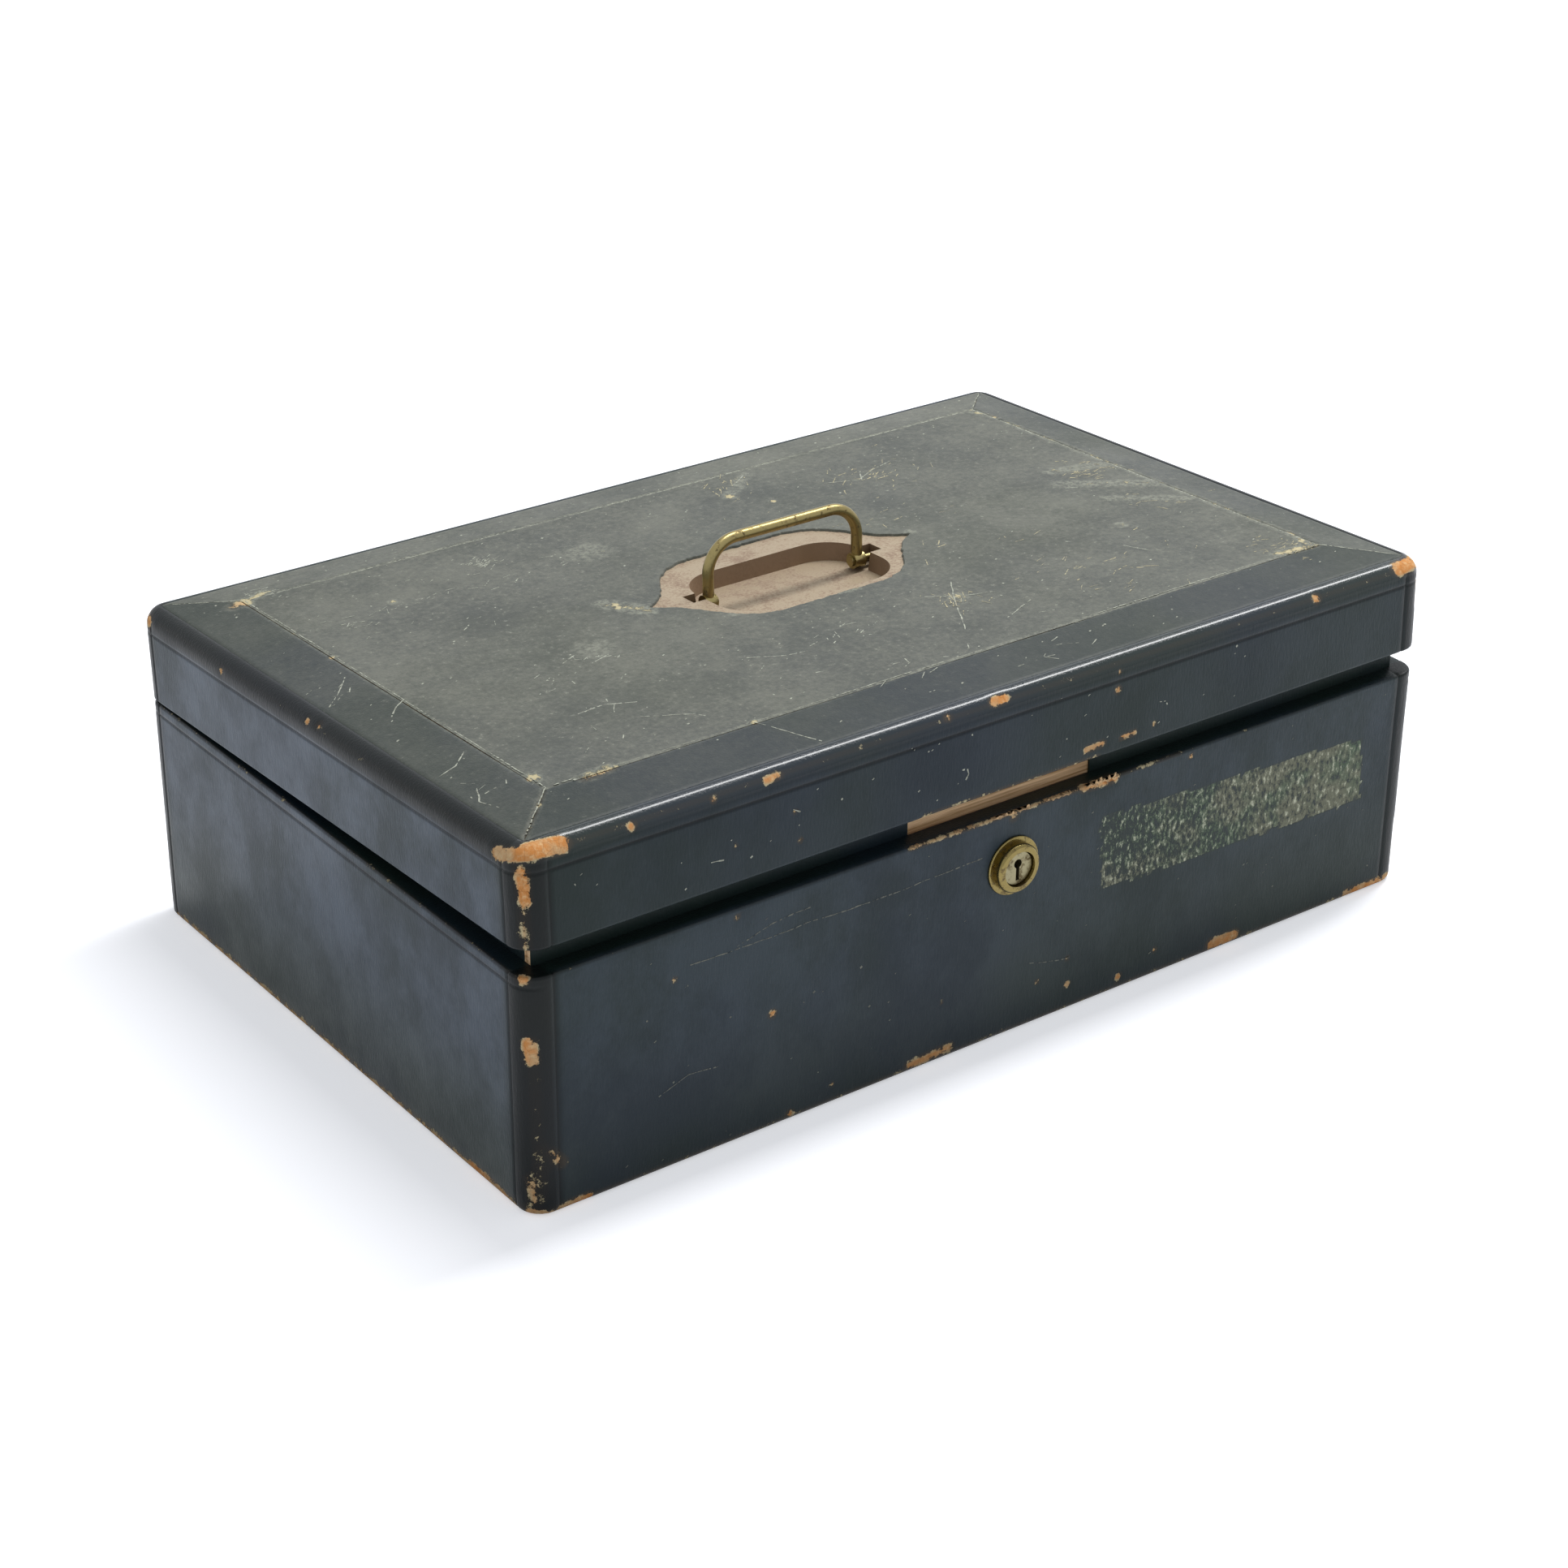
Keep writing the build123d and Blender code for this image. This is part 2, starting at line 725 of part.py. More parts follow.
def lock_nozzle():
    """Flange, raised round-edged ring and shank through board and liner, with the plug's bore."""
    ring = disc(ring_radius, (0, ring_height))
    ring = fillet(ring.edges().sort_by(Axis.Z)[-1], ring_lip_round)
    flange = disc(flange_radius, (0, flange_thickness))
    flange = fillet(flange.edges().sort_by(Axis.Z)[-1], flange_thickness / 2)
    shank = disc(shank_radius, (-half_depth - case_front, 0))
    bore = disc(plug_radius + plug_running_gap, (-half_depth, half_depth))
    save("lock_nozzle", lock_frame(ring + flange + shank - bore))


def lock_plug():
    """The turning plug: keyhole in front, collar inside the case and the pin that drives the bolt."""
    face = ring_height - plug_recess
    collar_z = (-half_depth - collar_back, -half_depth - case_inner_front - plug_running_gap)
    barrel = disc(plug_radius, (collar_z[1], face))
    barrel = chamfer(barrel.edges().sort_by(Axis.Z)[-1], plug_chamfer)
    collar = disc(collar_radius, collar_z)
    pin_end = -half_depth - bolt_back - drive_pin_clear
    pin = Pos(-drive_pin_rest, drive_pin_rest, 0) * disc(drive_pin_radius, (pin_end, collar_z[0]))
    keyhole_z = (face - keyhole_depth, face)
    round_hole = Pos(0, keyhole_round_radius, 0) * disc(keyhole_round_radius, keyhole_z)
    half_slot = keyhole_slot_width / 2
    slot = block((-half_slot, half_slot), (-keyhole_slot_length, keyhole_round_radius), keyhole_z)
    save("lock_plug", lock_frame(barrel + collar + pin - round_hole - slot))


def lock_case():
    """A box that is open to the back, with two ears, staple slots, ledges for the bolt and cap posts."""
    half = case_half_length
    case = block((-half, half), (case_front, case_back), (case_bottom, case_top))
    case -= block(
        (-half + case_wall, half - case_wall),
        (case_inner_front, case_back + cut_overrun),
        (case_bottom + case_wall, case_inner_top),
    )
    case += block(
        (-ear_plate_half_length, ear_plate_half_length),
        (case_front, case_inner_front),
        (ear_plate_low, ear_plate_top),
    )
    ledge_z = (bolt_bar_low - ledge_gap - ledge_thickness, bolt_bar_low - ledge_gap)
    case += block((-half, left_ledge_end), (case_inner_front, case_inner_back), ledge_z)
    case += block((right_ledge_end, half), (case_inner_front, case_inner_back), ledge_z)
    post_x = half - cap_post_inset
    post_z = case_bottom + cap_post_inset
    post = Cylinder(
        cap_post_radius, case_inner_back - case_inner_front, align=(Align.CENTER, Align.CENTER, Align.MIN)
    )
    for side in (-1, 1):
        case += Pos(side * post_x, case_inner_back, post_z) * Rot(90, 0, 0) * post
        slot_half = staple_width / 2 + staple_slot_gap
        case -= block(
            (side * staple_x - slot_half, side * staple_x + slot_half),
            (case_inner_front, case_inner_back),
            (case_inner_top - cut_overrun, case_top + cut_overrun),
        )
    bore = disc(plug_radius + plug_running_gap, (-half_depth - case_inner_front - cut_overrun, 0))
    case -= lock_frame(bore)
    case = with_holes(case, case_screw_places(), case_screw)
    case = with_holes(case, cap_screw_places(), cap_screw)
    save("lock_case", case)


def lock_cap():
    half = case_half_length - case_wall - screw_gap
    z_range = (case_bottom + case_wall + screw_gap, case_inner_top - screw_gap)
    cap = block((-half, half), (case_inner_back, case_back), z_range)
    save("lock_cap", with_holes(cap, cap_screw_places(), cap_screw))


def lock_bolt():
    """A sliding bar with two fingers for the staples and a slotted tail for the plug's pin."""
    y_range = (bolt_front, bolt_back)
    finger_y = (bolt_middle_y - finger_thickness / 2, bolt_middle_y + finger_thickness / 2)
    staple_left = -staple_x - staple_width / 2
    staple_right = staple_x - staple_width / 2
    clear = bolt_travel + staple_slot_gap
    left_face = staple_left - clear
    right_face = staple_right - clear
    left_edge = left_face - left_upstand_width
    bar = block((left_edge, right_face), y_range, (bolt_bar_low, bolt_bar_high))
    left_up = block((left_edge, left_face), y_range, (bolt_bar_high, finger_high))
    right_up = block((right_face - upstand_width, right_face), y_range, (bolt_bar_high, finger_high))
    bolt = bar + left_up + right_up
    for face in (left_face, right_face):
        bolt += block((face, face + finger_reach), finger_y, (finger_low, finger_high))
    slot_half = drive_pin_radius + drive_pin_gap
    slot_z = (drive_pin_low - slot_half, drive_pin_high + slot_half)
    bolt += block(
        (tail_x - tail_half_width, tail_x + tail_half_width),
        y_range,
        (slot_z[0] - tail_margin, bolt_bar_low),
    )
    slot_y = (bolt_front - cut_overrun, bolt_back + cut_overrun)
    bolt -= block((tail_x - slot_half, tail_x + slot_half), slot_y, slot_z)
    save("lock_bolt", bolt)


def link_plate():
    """Angle plate in the lid with two staples that hang into the lock case."""
    y_back = -lid_inside_half_depth
    flange_y = (y_back, bolt_middle_y + staple_depth / 2)
    half = link_half_length
    plate = block((-half, half), flange_y, (link_bottom, link_bottom + link_thickness))
    leg_z = (link_bottom, link_bottom + link_thickness + link_leg_height)
    plate += block((-half, half), (y_back, y_back + link_thickness), leg_z)
    plate = fillet(plate.edges().filter_by(Axis.Y).group_by(Axis.Z)[-1], link_corner_round)
    eye_half = finger_thickness / 2 + staple_eye_gap
    for side in (-1, 1):
        x_range = (side * staple_x - staple_width / 2, side * staple_x + staple_width / 2)
        y_range = (bolt_middle_y - staple_depth / 2, bolt_middle_y + staple_depth / 2)
        plate += block(x_range, y_range, (staple_tip_height, link_bottom + link_thickness))
        plate -= block(
            (x_range[0] - cut_overrun, x_range[1] + cut_overrun),
            (bolt_middle_y - eye_half, bolt_middle_y + eye_half),
            (finger_low - staple_eye_gap, finger_high + staple_eye_gap),
        )
    save("link_plate", ajar(with_holes(plate, link_screw_places(), link_screw)))


# Hinges

def knuckle_spans(centre, own):
    """X spans of one leaf's knuckles: the even ones for the body, the odd ones for the lid."""
    pitch = hinge_length / knuckle_count
    start = centre - hinge_length / 2
    spans = []
    for index in range(knuckle_count):
        if index % 2 == own:
            low = start + index * pitch + knuckle_gap / 2
            spans.append((low, low + pitch - knuckle_gap))
    return spans


def hinge_leaf(centre, own, leaf_z, tilt):
    """One leaf: plate, knuckles and the stop bar that meets the other leaf's when fully open."""
    half = hinge_length / 2
    x_range = (centre - half, centre + half)
    leaf = block(x_range, (leaf_front, leaf_back), leaf_z)
    inner = knuckle_radius + stop_inner_gap
    bar_z = (-stop_thickness, 0) if own == 0 else (0, stop_thickness)
    place = Pos(0, hinge_y, hinge_z) * Rot(tilt, 0, 0)
    leaf_bar = block(x_range, (inner, inner + stop_reach), bar_z)
    for span in knuckle_spans(centre, own):
        leaf += block(span, (leaf_back, hinge_y), leaf_z)
        leaf += along_x(knuckle_radius, span, hinge_y, hinge_z)
        leaf_bar += block(span, (knuckle_radius - leaf_thickness, inner), bar_z)
    leaf += place * leaf_bar
    bore_span = (x_range[0] - cut_overrun, x_range[1] + cut_overrun)
    leaf -= along_x(hinge_pin_radius + hinge_running_gap, bore_span, hinge_y, hinge_z)
    return leaf


def hinges():
    tilt = (lid_ajar_angle + lid_opening_angle + stop_spare_angle) / 2
    body_z = (body_height - leaf_thickness, body_height)
    lid_z = (lid_rim, lid_rim + leaf_thickness)
    for name, side in (("left", -1), ("right", 1)):
        centre = side * hinge_x
        body_leaf = hinge_leaf(centre, 0, body_z, -tilt)
        lid_leaf = hinge_leaf(centre, 1, lid_z, tilt)
        body_leaf = with_holes(body_leaf, hinge_screw_places(body_height, 0), hinge_screw)
        lid_leaf = with_holes(lid_leaf, hinge_screw_places(lid_rim, 180), hinge_screw)
        span = (centre - hinge_length / 2, centre + hinge_length / 2)
        save(f"{name}_hinge_body_leaf", body_leaf)
        save(f"{name}_hinge_lid_leaf", ajar(lid_leaf))
        save(f"{name}_hinge_pin", along_x(hinge_pin_radius, span, hinge_y, hinge_z))


def fasteners():
    """The screws: each node holds one kind, in the body or in the lid."""
    body_screws = {
        "hinge_body_screws": screws(hinge_screw_places(body_height, 0), hinge_screw),
        "lock_case_screws": screws(case_screw_places(), case_screw),
        "lock_cap_screws": screws(cap_screw_places(), cap_screw),
    }
    lid_screws = {
        "hinge_lid_screws": screws(hinge_screw_places(lid_rim, 180), hinge_screw),
        "link_plate_screws": screws(link_screw_places(), link_screw),
        "handle_plate_screws": screws(plate_screw_places(), plate_screw_sizes()),
    }
    for name, solids in body_screws.items():
        save(name, group(solids))
    for name, solids in lid_screws.items():
        save(name, group([ajar(solid) for solid in solids]))


os.makedirs("parts", exist_ok=True)
body_boards()
body_skins()
liners_and_lip()
body_linings()
lid_boards()
lid_skins()
handle_plate()
handle_bail()
handle_pins()
lock_nozzle()
lock_plug()
lock_case()
lock_cap()
lock_bolt()
link_plate()
hinges()
fasteners()
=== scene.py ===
import math
import random
from collections import namedtuple

import bpy
from bpy.props import FloatProperty, FloatVectorProperty, IntProperty, PointerProperty
from mathutils import Matrix, Vector, noise


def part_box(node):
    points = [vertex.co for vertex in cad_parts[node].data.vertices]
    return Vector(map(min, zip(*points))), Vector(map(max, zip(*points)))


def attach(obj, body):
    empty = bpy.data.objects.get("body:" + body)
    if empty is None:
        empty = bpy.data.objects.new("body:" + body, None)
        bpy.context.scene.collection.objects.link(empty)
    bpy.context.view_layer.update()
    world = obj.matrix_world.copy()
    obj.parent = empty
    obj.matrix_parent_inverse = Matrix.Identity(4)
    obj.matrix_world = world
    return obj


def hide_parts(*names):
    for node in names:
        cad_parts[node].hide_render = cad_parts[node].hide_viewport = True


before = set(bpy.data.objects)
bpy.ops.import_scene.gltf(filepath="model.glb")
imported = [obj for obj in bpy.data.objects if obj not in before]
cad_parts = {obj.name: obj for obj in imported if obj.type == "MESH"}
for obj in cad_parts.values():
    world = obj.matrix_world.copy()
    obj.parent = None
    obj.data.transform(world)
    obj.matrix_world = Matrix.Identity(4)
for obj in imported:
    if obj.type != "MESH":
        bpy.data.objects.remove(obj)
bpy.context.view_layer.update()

bl_info = {
    "name": "Writing Box",
    "version": (1, 0, 0),
    "blender": (4, 5, 0),
    "location": "View3D > Sidebar > Writing Box",
    "description": "Leather skins, brass, wear and stage for a leather-covered writing box",
    "category": "Add Mesh",
}

MM = 0.001

# The box's own sizes in millimetres. The lid's are those of the closed lid.
HALF_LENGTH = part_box("body_leather")[1].x / MM
HALF_DEPTH = -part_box("body_leather")[0].y / MM
BODY_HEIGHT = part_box("body_leather")[1].z / MM
CORNER_RADIUS = 9.0
BASE_TURN_IN = 10.0
BASE_ROUND = 2.5
RIM_ROUND = 1.0
LINER_INSET = 8.0
LID_RIM = 90.3
LID_EDGE = 126.3
LID_PANEL = 129.3
LID_EDGE_ROUND = 6.2
LID_MOUTH_INSET = 7.2
TOOLED_BELOW_TOP = 9.0
TOOLED_X = HALF_LENGTH - 11.0
TOOLED_Y = HALF_DEPTH - 10.0
BORDER_WIDTH = 22.3
PANEL_INSET = LID_EDGE_ROUND + BORDER_WIDTH
PANEL_HALF_LENGTH = HALF_LENGTH - PANEL_INSET
PANEL_HALF_DEPTH = HALF_DEPTH - PANEL_INSET
LEATHER = 1.0
WEAR_DEPTH = 0.3
SEAM_DROP = 0.4
SEAM_WIDTH = 0.5
CUT_POINTS = 560

# The lid stands ajar, turned about its hinge pins
HINGE_Y = 133.1
HINGE_Z = 90.15
AJAR = math.radians(2)
LEAF_X = 125.0
LEAF_HALF_POCKET = 22.7
LEAF_INSET = 6.4
LEAF_THICKNESS = 1.2

# Lock and flush handle
LOCK_HEIGHT = 69.0
LOCK_HOLE = 9.0
HANDLE_Y = 3.5
PLATE_FLAT = (22.0, 31.5)
PLATE_SHOULDER = (42.5, 18.5)
PLATE_CUSP = (45.5, 14.0)
PLATE_TIP = (60.5, 0.0)
SHOULDER_BOW = 2.2
OGEE_BOW = -1.1

# How much painted blue-grey sheen each wall has: light the walls reflect, painted into the colour, most on
# the left
PAINTED_SHEEN = {"body front": 0.36, "lid front": 0.16, "back": 0.6, "left": 0.94, "right": 0.7}

# A rubbed or torn place: a line between two points of the surface, its reach and how far gone it is
Scuff = namedtuple("Scuff", "start end reach strength")


def spot(x, y, z, reach, strength):
    """A round scuff."""
    return Scuff((x, y, z), (x, y, z), reach, strength)


def streak(start, end, reach, strength):
    """A long scuff."""
    return Scuff(start, end, reach, strength)


BODY_SCUFFS = [
    # front left corner, from the rim down
    spot(-198, -126, 89.5, 4.6, 0.75),
    streak((-197, -127, 66), (-196.5, -127.5, 60), 4.4, 0.86),
    streak((-196, -128, 56), (-196, -128, 28), 5.0, 0.4),
    streak((-192, -130, 24), (-188, -130, 19), 4.2, 0.62),
    streak((-195, -129, 26), (-196, -128, 8), 5.6, 0.48),
    streak((-198, -126, 14), (-197, -127, 6), 4.2, 0.64),
    # bottom edges
    streak((-200, -92, 2), (-197, -125, 2), 4.4, 0.78),
    streak((-197, -127, 1.6), (-178, -130, 1.6), 3.6, 0.8),
    streak((-200, 120, 1.8), (-200, -90, 1.8), 4.0, 0.61),
    streak((-178, -130, 1), (170, -130, 1), 3.6, 0.47),
    streak((-44, -130, 3), (-26, -130, 4), 4.0, 0.66),
    streak((100, -130, 3.5), (112, -130, 3.5), 4.4, 0.8),
    streak((171, -130, 2), (194, -129, 2), 4.0, 0.74),
    spot(-199, 127, 4, 4.6, 0.62),
    streak((200, -125, 1), (200, 125, 1), 3.6, 0.5),
    streak((-180, 130, 1), (180, 130, 1), 3.6, 0.48),
    spot(197, 127, 5, 5.0, 0.74),
    spot(197, 127, 88, 4.6, 0.74),
    spot(-197, 127, 88, 4.6, 0.7),
    streak((197, -127, 24), (197, -127, 4), 3.6, 0.6),
    # knocks in the front
    spot(-103.5, -130, 45.2, 3.2, 0.72),
    spot(28.6, -130, 11, 2.6, 0.78),
    spot(53.5, -130, 5.6, 2.8, 0.78),
    spot(14, -130, 17, 2.2, 0.68),
    spot(28, -130, 22, 2.2, 0.64),
    spot(71, -130, 11, 2.2, 0.7),
    spot(83, -130, 87, 2.2, 0.7),
    spot(-96, -130, 3, 3.0, 0.72),
    spot(-78, -130, 8, 2.0, 0.66),
    spot(-143, -130, 72, 2.4, 0.64),
    spot(-118, -130, 87, 2.4, 0.62),
    spot(-30, -130, 24, 1.8, 0.62),
    # rim above the lock
    streak((-46, -129.8, 89.7), (33, -129.8, 89.7), 2.2, 0.58),
    spot(0, -129.8, 88, 4.0, 0.6),
    streak((32, -129.6, 90), (46, -129.6, 89.5), 4.0, 0.76),
    streak((50, -129.6, 90), (78, -129.6, 90), 2.4, 0.48),
    streak((-190, -129.6, 90), (-50, -129.6, 90), 2.0, 0.34),
    streak((80, -129.6, 90), (190, -129.6, 90), 2.0, 0.32),
    streak((-199.6, -120, 90), (-199.6, 120, 90), 2.0, 0.43),
]

LID_SCUFFS = [
    # front left corner
    streak((-200, -117, 121.5), (-197.5, -125.5, 123.5), 4.2, 0.84),
    streak((-196, -127, 124.6), (-183, -128.6, 124.2), 5.0, 0.98),
    streak((-197, -126.8, 118), (-196.5, -127.5, 108), 4.0, 0.86),
    streak((-197, -127, 104), (-197, -127, 92), 3.8, 0.58),
    # front right corner
    streak((186, -128.3, 124.4), (197, -125, 123), 5.0, 0.9),
    streak((196.5, -127.4, 120), (196.5, -127.4, 108), 3.2, 0.66),
    # back corners
    streak((-199, 122, 122), (-196, 127, 122), 5.0, 0.72),
    streak((199, 122, 122), (196, 127, 122), 5.0, 0.76),
    # top edges
    streak((-180, -128.9, 123.6), (182, -128.9, 123.6), 2.4, 0.38),
    streak((-199, -110, 123), (-199, 115, 123), 2.4, 0.36),
    streak((199, -115, 123), (199, 115, 123), 2.6, 0.38),
    streak((-185, 129, 123), (185, 129, 123), 2.6, 0.36),
    spot(-157.5, -129.2, 122.5, 3.0, 0.76),
    spot(-126, -129.2, 122.5, 2.4, 0.72),
    streak((-105, -129, 123), (-100, -129, 123.4), 2.8, 0.7),
    spot(-29, -128.8, 124, 2.8, 0.72),
    streak((-9, -128.6, 124.2), (-4, -128.6, 124.4), 3.2, 0.86),
    spot(143, -128.9, 123.4, 3.6, 0.78),
    spot(-199.4, 65, 121.5, 3.0, 0.7),
    spot(-199, 4, 123.4, 3.2, 0.7),
    spot(-198.6, -3, 124.4, 3.4, 0.7),
    # rim above the lock
    streak((-40, -129.8, 90.8), (38, -129.8, 90.8), 2.4, 0.5),
    # knocks in the front
    spot(46.3, -130, 114, 3.0, 0.7),
    spot(47, -130, 120.5, 1.8, 0.72),
    spot(64, -130, 96, 2.0, 0.7),
    streak((32, -130, 95), (40, -130, 95.3), 2.4, 0.72),
    streak((48.5, -130, 95), (55, -130, 95.3), 2.2, 0.7),
    spot(-94, -130, 109, 2.0, 0.64),
    spot(-92, -130, 98, 2.2, 0.66),
    spot(-118, -130, 104, 1.8, 0.62),
    # seams of the raised panel
    spot(-169.8, -92, 129.3, 3.8, 0.94),
    streak((-157, -102, 129.2), (-146, -101, 129.3), 4.0, 0.62),
    streak((-176, 100, 128.8), (-160, 105, 128.6), 4.4, 0.66),
    spot(-171, 98, 129.3, 4.0, 0.7),
    streak((169, 100, 129.2), (172, 88, 129.2), 3.6, 0.6),
    streak((152, -99, 129.3), (170, -100.5, 129.3), 3.6, 0.62),
    streak((168, -100, 129.3), (172, -84, 129.3), 3.2, 0.6),
    streak((171.5, -82, 129.2), (171.5, 80, 129.2), 3.0, 0.44),
    streak((-171.5, -88, 129.2), (-171.5, 95, 129.2), 2.0, 0.36),
    streak((-146, -101.5, 129.2), (150, -101.5, 129.2), 2.0, 0.36),
    streak((-155, 101.5, 129.2), (168, 101.5, 129.2), 2.0, 0.34),
    streak((-171.5, -101.5, 129), (-192, -122, 126.6), 2.2, 0.46),
    spot(-171.5, 35, 129.2, 2.6, 0.7),
    # knocks and rubs of the panel
    spot(-47, 64, 129.3, 14.0, 0.34),
    spot(-96, -16, 129.3, 11.0, 0.32),
    spot(30, 79, 129.3, 4.4, 0.6),
    streak((31, 80, 129.3), (50, 96, 129.3), 4.2, 0.4),
    spot(40, 64, 129.3, 2.4, 0.7),
    spot(33, -58, 129.3, 5.0, 0.56),
    spot(128, -40, 129.3, 3.6, 0.66),
    streak((146, 22, 129.3), (168, 16, 129.3), 4.6, 0.44),
    streak((140, 8, 129.3), (170, -14, 129.3), 5.6, 0.42),
    streak((142, -14, 129.3), (168, -34, 129.3), 4.0, 0.42),
    spot(-89, -101, 129.3, 2.6, 0.76),
    spot(-129, 66, 129.3, 3.0, 0.62),
]

CUT_SCUFFS = [
    streak((-70, HANDLE_Y + 12, LID_PANEL), (-62, HANDLE_Y - 2, LID_PANEL), 6.0, 0.52),
    streak((-40, HANDLE_Y - 24, LID_PANEL), (10, HANDLE_Y - 32, LID_PANEL), 2.4, 0.46),
    spot(61, HANDLE_Y + 1, LID_PANEL, 3.4, 0.52),
]

# Rubbed places of the lid's top: middle, reach, number of strokes and their bearing in degrees
RUBS = [
    (-47, 64, 10, 170, 30), (-83, 79, 5, 50, 20), (-96, -16, 8, 100, 15), (-64, 14, 9, 44, 60),
    (-148, 55, 8, 12, 15), (36, 88, 11, 34, 55), (92, 64, 18, 44, 15), (33, -60, 12, 26, 70),
    (-20, -72, 24, 80, 20), (158, 14, 15, 52, -12), (162, -26, 14, 40, -15), (160, -94, 11, 40, 5),
    (128, -40, 6, 10, 0), (-162, 104, 9, 30, 15), (-185, -84, 12, 9, 60), (-184, 8, 9, 8, 50),
    (-70, 9, 8, 70, 35),
    (-130, -50, 34, 40, 25), (60, 20, 60, 50, 20), (-110, 60, 40, 40, 15), (100, -60, 40, 46, 10),
    (20, -96, 50, 30, 5),
]

# From here to the right, the rubbed places are yellowish
YELLOW_FROM = 22

# Fine scratches of the lid's top, as the points that each passes through, seen from above
TOP_SCRATCHES = [
    [(-116, -74), (-101, -83), (-89, -101), (-77, -122)],
    [(-191, 3), (-184, 9), (-176, 18)],
    [(-180, -20), (-175, -15), (-170, -12)],
    [(41, -44), (30, -60), (18, -80), (6, -97)],
    [(24, -50), (35, -58), (47, -62)],
    [(68, 68), (74, 65), (82, 62), (86, 68)],
    [(80, 62), (92, 68), (104, 72)],
    [(30, 79), (38, 88), (51, 97)],
    [(14, -88), (34, -84), (52, -76)],
    [(-12, -75), (-4, -82), (4, -92)],
    [(-112, -20), (-100, -14), (-84, -10)],
    [(-104, -26), (-92, -22), (-80, -12)],
    [(-60, -55), (-48, -62), (-38, -64)],
    [(-66, 30), (-58, 20), (-56, 6)],
    [(-140, -60), (-120, -58), (-104, -66)],
    [(120, 30), (136, 24), (150, 22)],
    [(138, 4), (152, -4), (166, -10)],
    [(140, -16), (154, -24), (166, -30)],
    [(100, -40), (112, -52), (118, -66)],
    [(-176, -60), (-183, -66), (-190, -68)],
    [(-186, -84), (-190, -92), (-188, -100)],
]

FRONT_SCRATCHES = [
    [(-137, 75.5), (-112, 75), (-90, 75.4), (-60, 74.6)],
    [(-60, 74.6), (-38, 75.4), (-14, 76)],
    [(-118, 76), (-104, 80), (-88, 81)],
    [(-150, 30), (-138, 34), (-126, 33)],
    [(10, 26), (22, 23), (30, 22)],
]

LID_FRONT_SCRATCHES = [
    [(-23.6, 103.4), (-21.4, 103.2), (-20.8, 101.2), (-22.2, 99.2)],
    [(-95, 110), (-92, 108.4)],
    [(66, 104), (69, 103.4), (70, 101.8)],
    [(-128, 101), (-123, 100.2)],
]

# Tiny knocks strewn over the top, the front and the lid's front: two corners and how many
TOP_SPECKS = ((-190, -120), (190, 120), 420)
FRONT_SPECKS = ((-190, 4), (190, 86), 70)
LID_FRONT_SPECKS = ((-190, 94), (190, 118), 34)

# How far a scratch lies above the skin
SCRATCH_LIFT = 0.05

# Torn tongues along the body's rim: how many, from and to where, least and greatest width, and length
TONGUES = [
    (20, (-45, 32), (0.8, 2.6), 0.9),
    (9, (-10, 8), (1.4, 3.0), 1.6),
    (15, (33, 47), (1.6, 3.6), 2.1),
]

# The place of a lost paper label on the front, its corners as x and z
LABEL_CORNERS = [(40, 76), (172, 69.5), (175, 41.5), (42, 45)]


def to_linear(hex_colour):
    """A six-digit sRGB colour as linear red, green, blue and a full alpha."""
    channels = [int(hex_colour[i:i + 2], 16) / 255 for i in (0, 2, 4)]
    linear = [c / 12.92 if c <= 0.04045 else ((c + 0.055) / 1.055) ** 2.4 for c in channels]
    return (*linear, 1.0)


def colour_property(name, description, hex_colour):
    """A colour that the user may change, given as its sRGB hex value."""
    return FloatVectorProperty(
        name=name, description=description, subtype="COLOR", size=4, min=0, max=1,
        default=to_linear(hex_colour),
    )


def length_property(name, description, millimetres):
    """A length that the user may change, given in millimetres."""
    return FloatProperty(
        name=name, description=description, subtype="DISTANCE", unit="LENGTH", min=0,
        precision=5, default=millimetres * MM,
    )


class LeatherSettings(bpy.types.PropertyGroup):
    navy: colour_property("Navy", "Dyed grain of the sides", "16222b")
    green_black: colour_property("Green black", "Dyed grain where it has greened with age", "182522")
    # painted sheen: the blue-grey that the walls show in the light, painted into the colour
    painted_sheen: colour_property("Bloom", "Blue-grey film on the walls", "4b5866")
    # painted sheen low down on the walls, greener, with dust
    dusty_sheen: colour_property("Dusty", "Green-grey film low down on the walls", "49544f")
    # also painted sheen: on the lid's top this grey stands for reflected light as well as for rubbing
    rubbed: colour_property("Rubbed", "Grain that hands have rubbed dull", "74756b")
    chafed: colour_property("Chafed", "Grain that knocks have roughened pale", "8b8d80")
    browned: colour_property("Browned", "Grain that has lost its dye", "463928")
    tan: colour_property("Tan", "Bare tanned fibre in a scuff", "cd8a4c")
    pale_tan: colour_property("Pale tan", "Driest fibre in a scuff", "e4bf8e")
    torn: colour_property("Torn", "Flesh side of a torn edge", "a18566")
    old_fibre: colour_property("Old fibre", "Yellowed fibre in a small knock", "bfb592")
    scratch: colour_property("Scratch", "Fine scratch in the grain", "b0b3a4")
    grain: length_property("Grain", "Width of one crease of the grain", 0.8)
    panel_mesh: length_property("Mesh", "Spacing of the mesh on the flats", 1.4)
    groove_depth: length_property("Groove depth", "Depth of a tooled line", 0.4)
    groove_width: length_property("Groove width", "Width of a tooled line", 1.2)
    swell: length_property("Swell", "How far the skin stands off or sinks in slow waves", 0.16)
    ragged: length_property("Ragged edge", "How far the cut round the handle wanders", 0.7)
    scratch_width: length_property("Scratch width", "Width of a fine scratch", 0.5)
    stroke_width: length_property("Stroke width", "Width of a rubbing stroke", 0.42)
    seed: IntProperty(name="Seed", description="Start of the scratches' wander", default=7, min=0)


